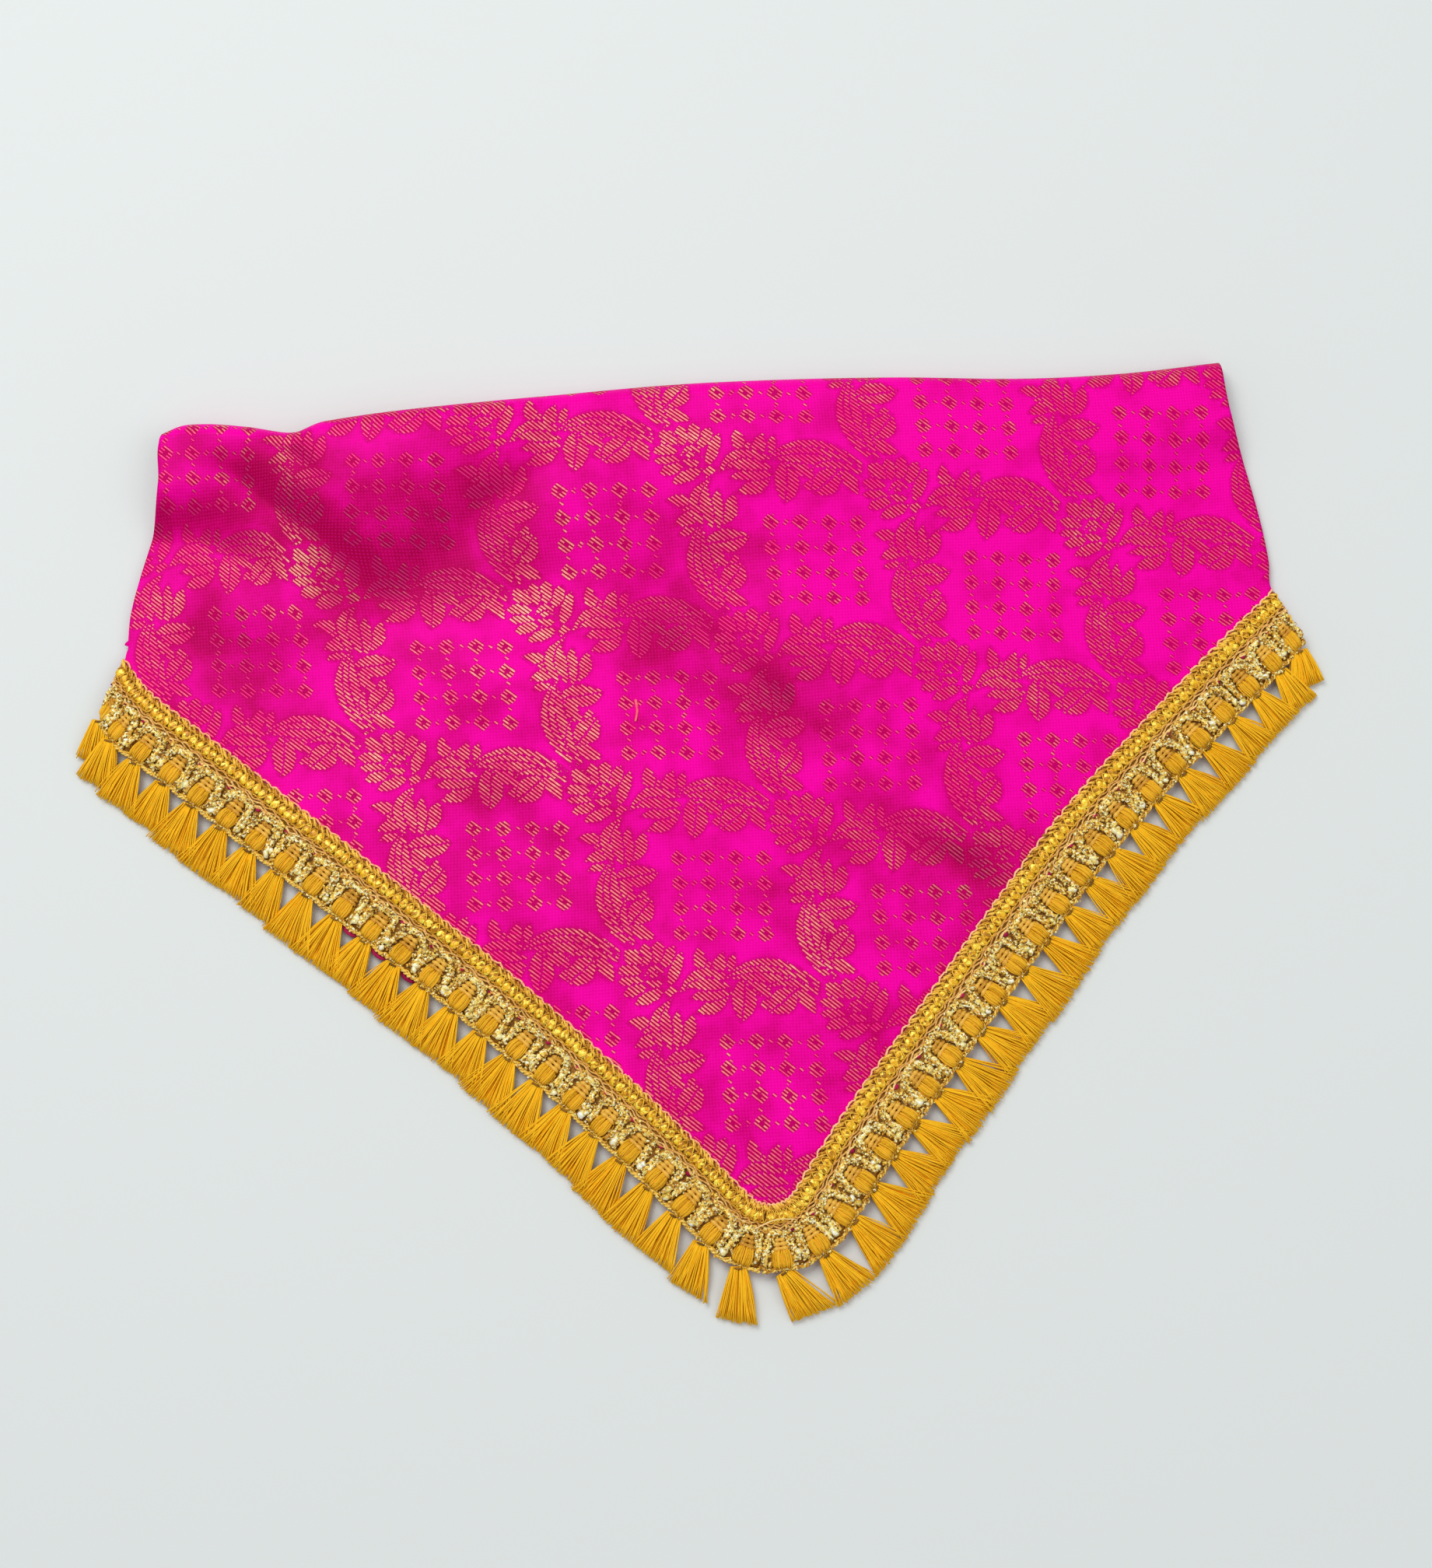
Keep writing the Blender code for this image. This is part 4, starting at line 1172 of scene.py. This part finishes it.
def braid(stretch):
    """Ladder braid: a scalloped edge, whipped loops, and foil cells between crossing threads."""
    start, end = stretch.start, stretch.end
    backing(stretch, "braid_net", 0.0010, 0.0060)
    fine = trim_line(start, end, THREAD_STEP)
    picot = np.abs(np.sin(math.pi * fine / PICOT)) ** 0.7
    edge = trim_point(fine, 0.0011 - 0.0007 * picot + rng.normal(0, 0.00008, fine.shape), 0.0006)
    threads(stretch, "braid_edge", [edge], 0.00026)

    whip = np.arange(start + 0.0006, end - 0.0004, WHIP)
    t = np.linspace(0.0, 1.0, 6)
    lengths = whip[:, None] + (t - 0.5) * 0.0018 + rng.normal(0, 0.0003, (len(whip), 1))
    outs = 0.0009 + 0.0013 * t + rng.normal(0, 0.00018, (len(whip), 1))
    loops = trim_point(lengths, outs, 0.0005 + 0.0005 * np.sin(math.pi * t))
    threads(stretch, "braid_loops", loops, 0.00030)

    lines = []
    for out, rise in ((0.0019, 0.00085), (0.0051, 0.00090)):
        for phase in (0.0, math.pi):
            lines.append(plied(fine, out, rise, 0.00016, 0.0016, phase))
    angle = math.pi * (fine - start - FOIL_CELL / 2) / FOIL_CELL
    for flip in (-1, 1):
        out = FOIL_OUT + flip * 0.0015 * np.cos(angle)
        lines.append(trim_point(fine, out, 0.0012 + flip * 0.0002 * np.sin(2 * angle)))
    threads(stretch, "braid_wires", lines, 0.00014)

    cells = np.arange(start + FOIL_CELL / 2, end - 0.0008, FOIL_CELL)
    t = np.linspace(0.0, 1.0, 7)
    lengths = cells[:, None] + (t - 0.5) * 0.0020 + rng.normal(0, 0.00008, (len(cells), 1))
    outs = FOIL_OUT + rng.normal(0, 0.0001, (len(cells), 1)) + 0.0001 * np.sin(math.pi * t)
    foil = trim_point(lengths, outs, 0.0010)
    radii = 0.00130 * np.sqrt(np.maximum(0.2, 1 - (2 * t - 1) ** 6))
    threads(stretch, "braid_foil", foil, radii)


def tassel_middles(stretch):
    """The lengths along the trim at which its tassels hang."""
    return (np.arange(stretch.first, stretch.last) + 0.5) * PITCH


def arch_path(count, narrow, crest, foot):
    """One inverted U as shares of the pitch and distances out, square at its shoulders."""
    angle = np.linspace(0.0, math.pi, count)
    swing = -np.sign(np.cos(angle)) * np.abs(np.cos(angle)) ** 0.55
    return swing * narrow * PITCH, foot - (foot - crest) * np.abs(np.sin(angle)) ** 0.6


def scattered_glints(stretch, name, centres, low, high):
    """Small facets of film that lie every way round on the cord."""
    centres = centres.reshape(-1, 3)
    turn = rng.uniform(0, 2 * math.pi, len(centres))
    tip = np.stack((np.cos(turn), np.sin(turn), rng.normal(0, 0.35, len(centres))), axis=-1)
    size = rng.uniform(low, high, len(centres))
    t = np.array((-1.0, 0.0, 1.0))
    flakes = centres[:, None] + tip[:, None] * (size[:, None] * t)[..., None]
    radii = size[:, None] * np.array((0.5, 1.0, 0.5))
    threads(stretch, name, flakes, radii)


def lace(stretch):
    """Crocheted wave: a glitter cord arch over each tassel, with wound coils under it."""
    start, end = stretch.start, stretch.end
    backing(stretch, "lace_net", 0.0060, 0.0163)
    middles = tassel_middles(stretch)[:, None]
    holes = np.arange(stretch.first, stretch.last)[:, None] * PITCH

    shift, outs = arch_path(56, 0.39, 0.0076, 0.0150)
    lean = rng.normal(0, 0.00022, (len(middles), 1))
    for name, spread, rise in (("inner", -0.00042, 0.0012), ("outer", 0.00042, 0.0014)):
        phase = np.linspace(0, 9 * math.pi, len(shift)) + rng.uniform(0, 6, (len(middles), 1))
        away = spread * np.cos(phase * 0.5)
        along = middles + shift * (1 + away / 0.0036) + lean + rng.normal(0, 0.00010, phase.shape)
        out = np.clip(outs - away, 0.0062, 0.0160)
        arches = trim_point(np.clip(along, start, end), out, rise + 0.00025 * np.sin(phase * 0.5))
        knobs = 0.00062 * np.clip(1 + 0.16 * rng.standard_normal(phase.shape), 0.7, 1.4)
        threads(stretch, "lace_arches_" + name, arches, knobs)

    near = rng.integers(0, len(shift), (len(middles), 90))
    centres = trim_point(
        np.clip(middles + shift[near] + rng.normal(0, 0.0005, near.shape), start, end),
        np.clip(outs[near] + rng.normal(0, 0.0005, near.shape), 0.0062, 0.0160),
        0.0019 + rng.normal(0, 0.00018, near.shape),
    )
    scattered_glints(stretch, "lace_glints", centres, 0.00018, 0.00050)

    # Small knots of the same cord, which leave little of the net in sight
    spot = rng.uniform(-0.5, 0.5, (len(middles), 46)) * PITCH
    out = rng.uniform(0.0064, 0.0160, spot.shape)
    high = 0.0009 + rng.normal(0, 0.0001, spot.shape)
    centres = trim_point(np.clip(middles + spot, start, end), out, high)
    scattered_glints(stretch, "lace_knots", centres, 0.00040, 0.00075)

    # Folds of bare film between the tassel heads, painted nearly white as painted highlights
    spot = holes[1:] + rng.normal(0, 0.0004, (len(middles) - 1, 2))
    out = np.array((0.0137, 0.0150)) + rng.normal(0, 0.0003, spot.shape)
    scattered_glints(stretch, "lace_film_highlights", trim_point(spot, out, 0.0018), 0.00070, 0.00100)

    fine = trim_line(start, end, 0.0006)
    seams = []
    for out, reach, wave in (
        (0.0056, 0.00030, 0.0041), (0.0062, 0.00035, 0.0053),
        (0.0069, 0.00030, 0.0029), (0.0072, 0.00040, 0.0067),
    ):
        way = out + reach * np.sin(2 * math.pi * fine / wave)
        seams.append(trim_point(fine, way, 0.0009 + rng.normal(0, 0.00006, fine.shape)))
    threads(stretch, "lace_seam", seams, 0.00024)

    t = np.linspace(-1.0, 1.0, 9)
    wound = []
    for row_out, row_wide in ((0.0092, 0.0034), (0.0103, 0.0042), (0.0114, 0.0045)):
        wound.append(trim_point(middles + t * row_wide / 2, row_out + 0.0002 * t**2, 0.0014))
    radii = 0.00058 * (1 - 0.45 * t**4) * (1 - 0.35 * np.cos(2 * math.pi * t))
    threads(stretch, "lace_coils", np.concatenate(wound), radii)

    t = np.linspace(-1.0, 1.0, 5)
    spots = trim_point(np.clip(holes + t * 0.0007, start, end), 0.0075, 0.0008)
    radii = 0.0006 * np.sqrt(np.maximum(0.05, 1 - t**2))
    threads(stretch, "lace_eyelets", spots, radii)


def heads(stretch):
    """The yarn wound over at the top of each tassel: two lobes under a skin of single strands."""
    middles = tassel_middles(stretch)[:, None]
    t = np.linspace(-1.0, 1.0, 9)
    lobes = []
    for off in (-0.00108, 0.00108):
        high = 0.0011 + 0.0003 * (1 - t * t)
        lobes.append(trim_point(middles + off, HEAD_OUT + 0.0021 * t, high))
    radii = 0.00118 * np.maximum(0.08, 1 - t**4) ** 0.5
    threads(stretch, "yarn_heads", np.concatenate(lobes), radii)

    share = np.tile(np.linspace(-1.0, 1.0, HEAD_STRANDS), (len(middles), 1))
    share = (share + rng.normal(0, 0.05, share.shape))[..., None]
    from_crest = (np.abs(share) - 0.47) / 0.58
    arch = np.sqrt(np.maximum(0.0, 1 - from_crest**2))
    slant = rng.normal(0, 0.00012, share.shape)
    along = middles[..., None] + 0.0024 * share * (1 - 0.22 * t**2) + slant * t
    out = HEAD_OUT + (0.0023 + rng.normal(0, 0.00012, share.shape)) * t
    high = (0.0008 + 0.0017 * arch) * (1 - 0.45 * t**4)
    skin = trim_point(along, out, high).reshape(-1, len(t), 3)
    threads(stretch, "head_strands", skin, 0.00021)


def tassel_roots(stretch):
    """Where each tassel starts, its direction, its length and half the angle that it spreads."""
    tassels = np.arange(stretch.first, stretch.last)
    turn = np.radians(smooth_table(TASSELS, tassels)) + TURN_WAVER * np.sin(TURN_WAVES * tassels)
    long = smooth_table(TASSELS, tassels, column=2)
    long = long * (1 + LONG_WAVER * np.sin(LONG_WAVES * tassels))
    root = trim_place(tassel_middles(stretch), CORD_IN + CORD_WIDE)
    way = np.stack((np.sin(turn), -np.cos(turn)), axis=-1)
    return root, way, long, np.radians(smooth_table(FANS, tassels))


def tassels(stretch):
    """Fans of fine yarn, in two bundles that part a little, cut nearly straight."""
    root, way, long, wide = tassel_roots(stretch)
    count = len(root)
    share = np.tile(np.linspace(-1.0, 1.0, STRANDS), (count, 1))
    share += rng.normal(0, 0.03, share.shape)
    part = 0.05 * np.sign(share) * rng.random((count, 1))
    wide = wide * (1 + rng.normal(0, 0.06, count))
    fan = wide[:, None] * (share + part)
    fan += np.radians(rng.normal(0, 1.2, share.shape))
    out = turned(way[:, None], fan)
    cross = crosswise(way)
    outwards = unit(trim_place(tassel_middles(stretch), CLOTH_OUT + 0.003) - root)
    straight = np.einsum("tsi,ti->ts", out, outwards)
    cut = np.einsum("ti,ti->t", way, outwards)[:, None] / np.maximum(0.5, straight)
    length = FAN_LONG * long[:, None] * (1 + rng.normal(0, 0.018, share.shape)) * cut**0.8
    t = np.linspace(0.0, 1.0, 6)
    layer = rng.random(share.shape)
    start = root[:, None] + cross[:, None] * (share * 0.0019)[..., None] - way[:, None] * 0.0006
    spread = start[:, :, None] + out[:, :, None] * (length[..., None] * t)[..., None]
    bend = rng.normal(0, 0.00025, share.shape)
    spread = spread + cross[:, None, None] * (bend[..., None] * np.sin(math.pi * t))[..., None]
    high = (0.0020 + 0.0010 * layer)[..., None] * (1 - t) + (0.0005 + 0.0013 * layer)[..., None] * t
    high = high + 0.0006 * np.sin(math.pi * t)
    paths = raised(spread, high).reshape(-1, len(t), 3)
    # Painted shade: strands that lie lower are painted darker, under the upper ones; the rest is
    # random
    tone = np.clip(0.1 + 0.4 * layer + 0.45 * rng.random(share.shape), 0, 1).reshape(-1)
    threads(stretch, "tassel_strands", paths, 0.00017 * (1 - 0.15 * t), tone)


def tassel_cores(stretch):
    """The inner yarn of each tassel, packed in one flat fan."""
    root, way, long, wide = tassel_roots(stretch)
    long = FAN_LONG * long
    t = np.linspace(-0.03, 0.88, 9)
    place = root[:, None] + way[:, None] * (long[:, None] * t)[..., None]
    paths = raised(place, 0.0018 - 0.0012 * t)
    radii = 0.0017 + 0.75 * np.tan(wide)[:, None] * long[:, None] * np.maximum(t, 0.0)
    threads(stretch, "tassel_cores", paths, radii)


def lower_cord(stretch):
    """Thin twisted cord along the tassels' roots."""
    fine = trim_line(stretch.start + SEAM, stretch.end - SEAM, THREAD_STEP)
    sag = 0.0003 * np.cos(2 * math.pi * fine / PITCH)
    plies = [plied(fine, CORD_OUT + sag, 0.0006, 0.00032, 0.0021, turn) for turn in (0.0, math.pi)]
    threads(stretch, "lower_cord", plies, 0.00032)
    stray = 0.0163 + sag + 0.0004 * np.sin(2 * math.pi * fine / 0.0037)
    threads(stretch, "lower_thread", [trim_point(fine, stray, 0.0010)], 0.00020)
    spot = rng.uniform(stretch.start + 0.001, stretch.end - 0.001, 420)
    centres = trim_point(spot, 0.0163 + rng.normal(0, 0.0005, spot.shape), 0.0012)
    scattered_glints(stretch, "lower_glints", centres, 0.00018, 0.00045)


def knots(stretch):
    """Dark thread drawn tight round each tassel's root."""
    root, way = tassel_roots(stretch)[:2]
    t = np.linspace(-1.0, 1.0, 7)
    across = crosswise(way)[:, None] * (t * 0.0011)[:, None]
    paths = raised(root[:, None] - way[:, None] * 0.0001 + across, 0.0026 + 0.0007 * (1 - t * t))
    threads(stretch, "root_knots", paths, 0.00028)


def lining_slivers(stretch):
    """The cloth's turned edge, where it shows below the lower cord beside three left tassels."""
    t = np.linspace(-1.0, 1.0, 9)
    lengths = np.array(SLIVERS)[:, None] * PITCH + 0.0022 * t
    slivers = trim_point(lengths, 0.0161 + 0.0007 * (1 - t * t), -0.0006)
    out = -crosswise(unit(np.gradient(slivers, axis=1)))
    slivers = slivers + 0.0010 * raised(out, 0.0)
    radii = 0.0007 * np.sqrt(np.maximum(0.04, 1 - t * t))
    threads(stretch, "lining_slivers", slivers, radii)


def loose_threads(stretch):
    """Ends of sewing thread that curl over the point, and one loose fibre on the brocade."""
    t = np.linspace(0.0, 1.0, 15)
    for row in LOOSE:
        x = smooth_table(((0.0, row.x1), (0.5, row.x2), (1.0, row.x3)), t)
        y = smooth_table(((0.0, row.y1), (0.5, row.y2), (1.0, row.y3)), t)
        plan = np.stack((x, y), axis=-1)
        path = raised(plan, 2 * CLOTH + air_under(plan, CREASES) + row.rise)
        threads(stretch, row.name, [path], row.radius * (1 - 0.3 * t))


def build():
    silk = brocade()
    lining_cloth = lining()
    finishes = {row.key: thread_material(row) for row in THREADS}
    finishes.update((row.key, film_material_with_painted_glints(row)) for row in FILMS)
    front = front_cloth(silk, lining_cloth)
    back = back_cloth(lining_cloth)
    for half in HALVES:
        for draw in (braid, lace, heads, lower_cord, tassel_cores, tassels, knots):
            draw(Stretch(*half, finishes))
    whole = Stretch("", 0, ALL_TASSELS, 0.0, TRIM_LONG, finishes)
    lining_slivers(whole)
    loose_threads(whole)


def aim(obj, place, way):
    """Stands a lamp or camera at the place, facing this way."""
    obj.location = place
    obj.rotation_mode = "QUATERNION"
    obj.rotation_quaternion = way.to_track_quat("-Z", "Y")


def stage():
    """Plain white floor, a broad soft light from the upper left and a pale sky."""
    bm = bmesh.new()
    bmesh.ops.create_grid(bm, x_segments=1, y_segments=1, size=1.5)
    floor = place_object("floor", mesh_from(bm, "floor"))
    floor.data.materials.append(floor_material())
    floor.location.z = -0.0002

    for name, place, size, power in (
        ("key", (-0.40, 0.60, 1.20), 0.8, 11.2),
        ("fill", (0.9, -0.4, 1.3), 1.2, 4.6),
    ):
        light = bpy.data.lights.new(name, "AREA")
        light.size = size
        light.energy = power
        aim(place_object(name, light), Vector(place), -Vector(place))

    world = bpy.data.worlds.new("pale sky")
    world.use_nodes = True
    sky = world.node_tree.nodes["Background"]
    sky.inputs["Color"].default_value = colour("#F2F6F8")
    sky.inputs["Strength"].default_value = 0.50
    bpy.context.scene.world = world
    bpy.context.scene.view_settings.view_transform = "Standard"


def camera():
    """The photo's angle: nearly straight down, turned a little."""
    turn, rise = math.radians(CAMERA_TURN), math.radians(CAMERA_RISE)
    level = math.cos(rise)
    back = Vector((math.sin(turn) * level, -math.cos(turn) * level, math.sin(rise)))
    lens = bpy.data.cameras.new("camera")
    lens.lens = CAMERA_LENS
    lens.sensor_width = 36.0
    lens.clip_start = 0.01
    eye = place_object("camera", lens)
    aim(eye, LOOK_AT + back * CAMERA_AWAY, -back)
    bpy.context.scene.camera = eye


build()
stage()
camera()
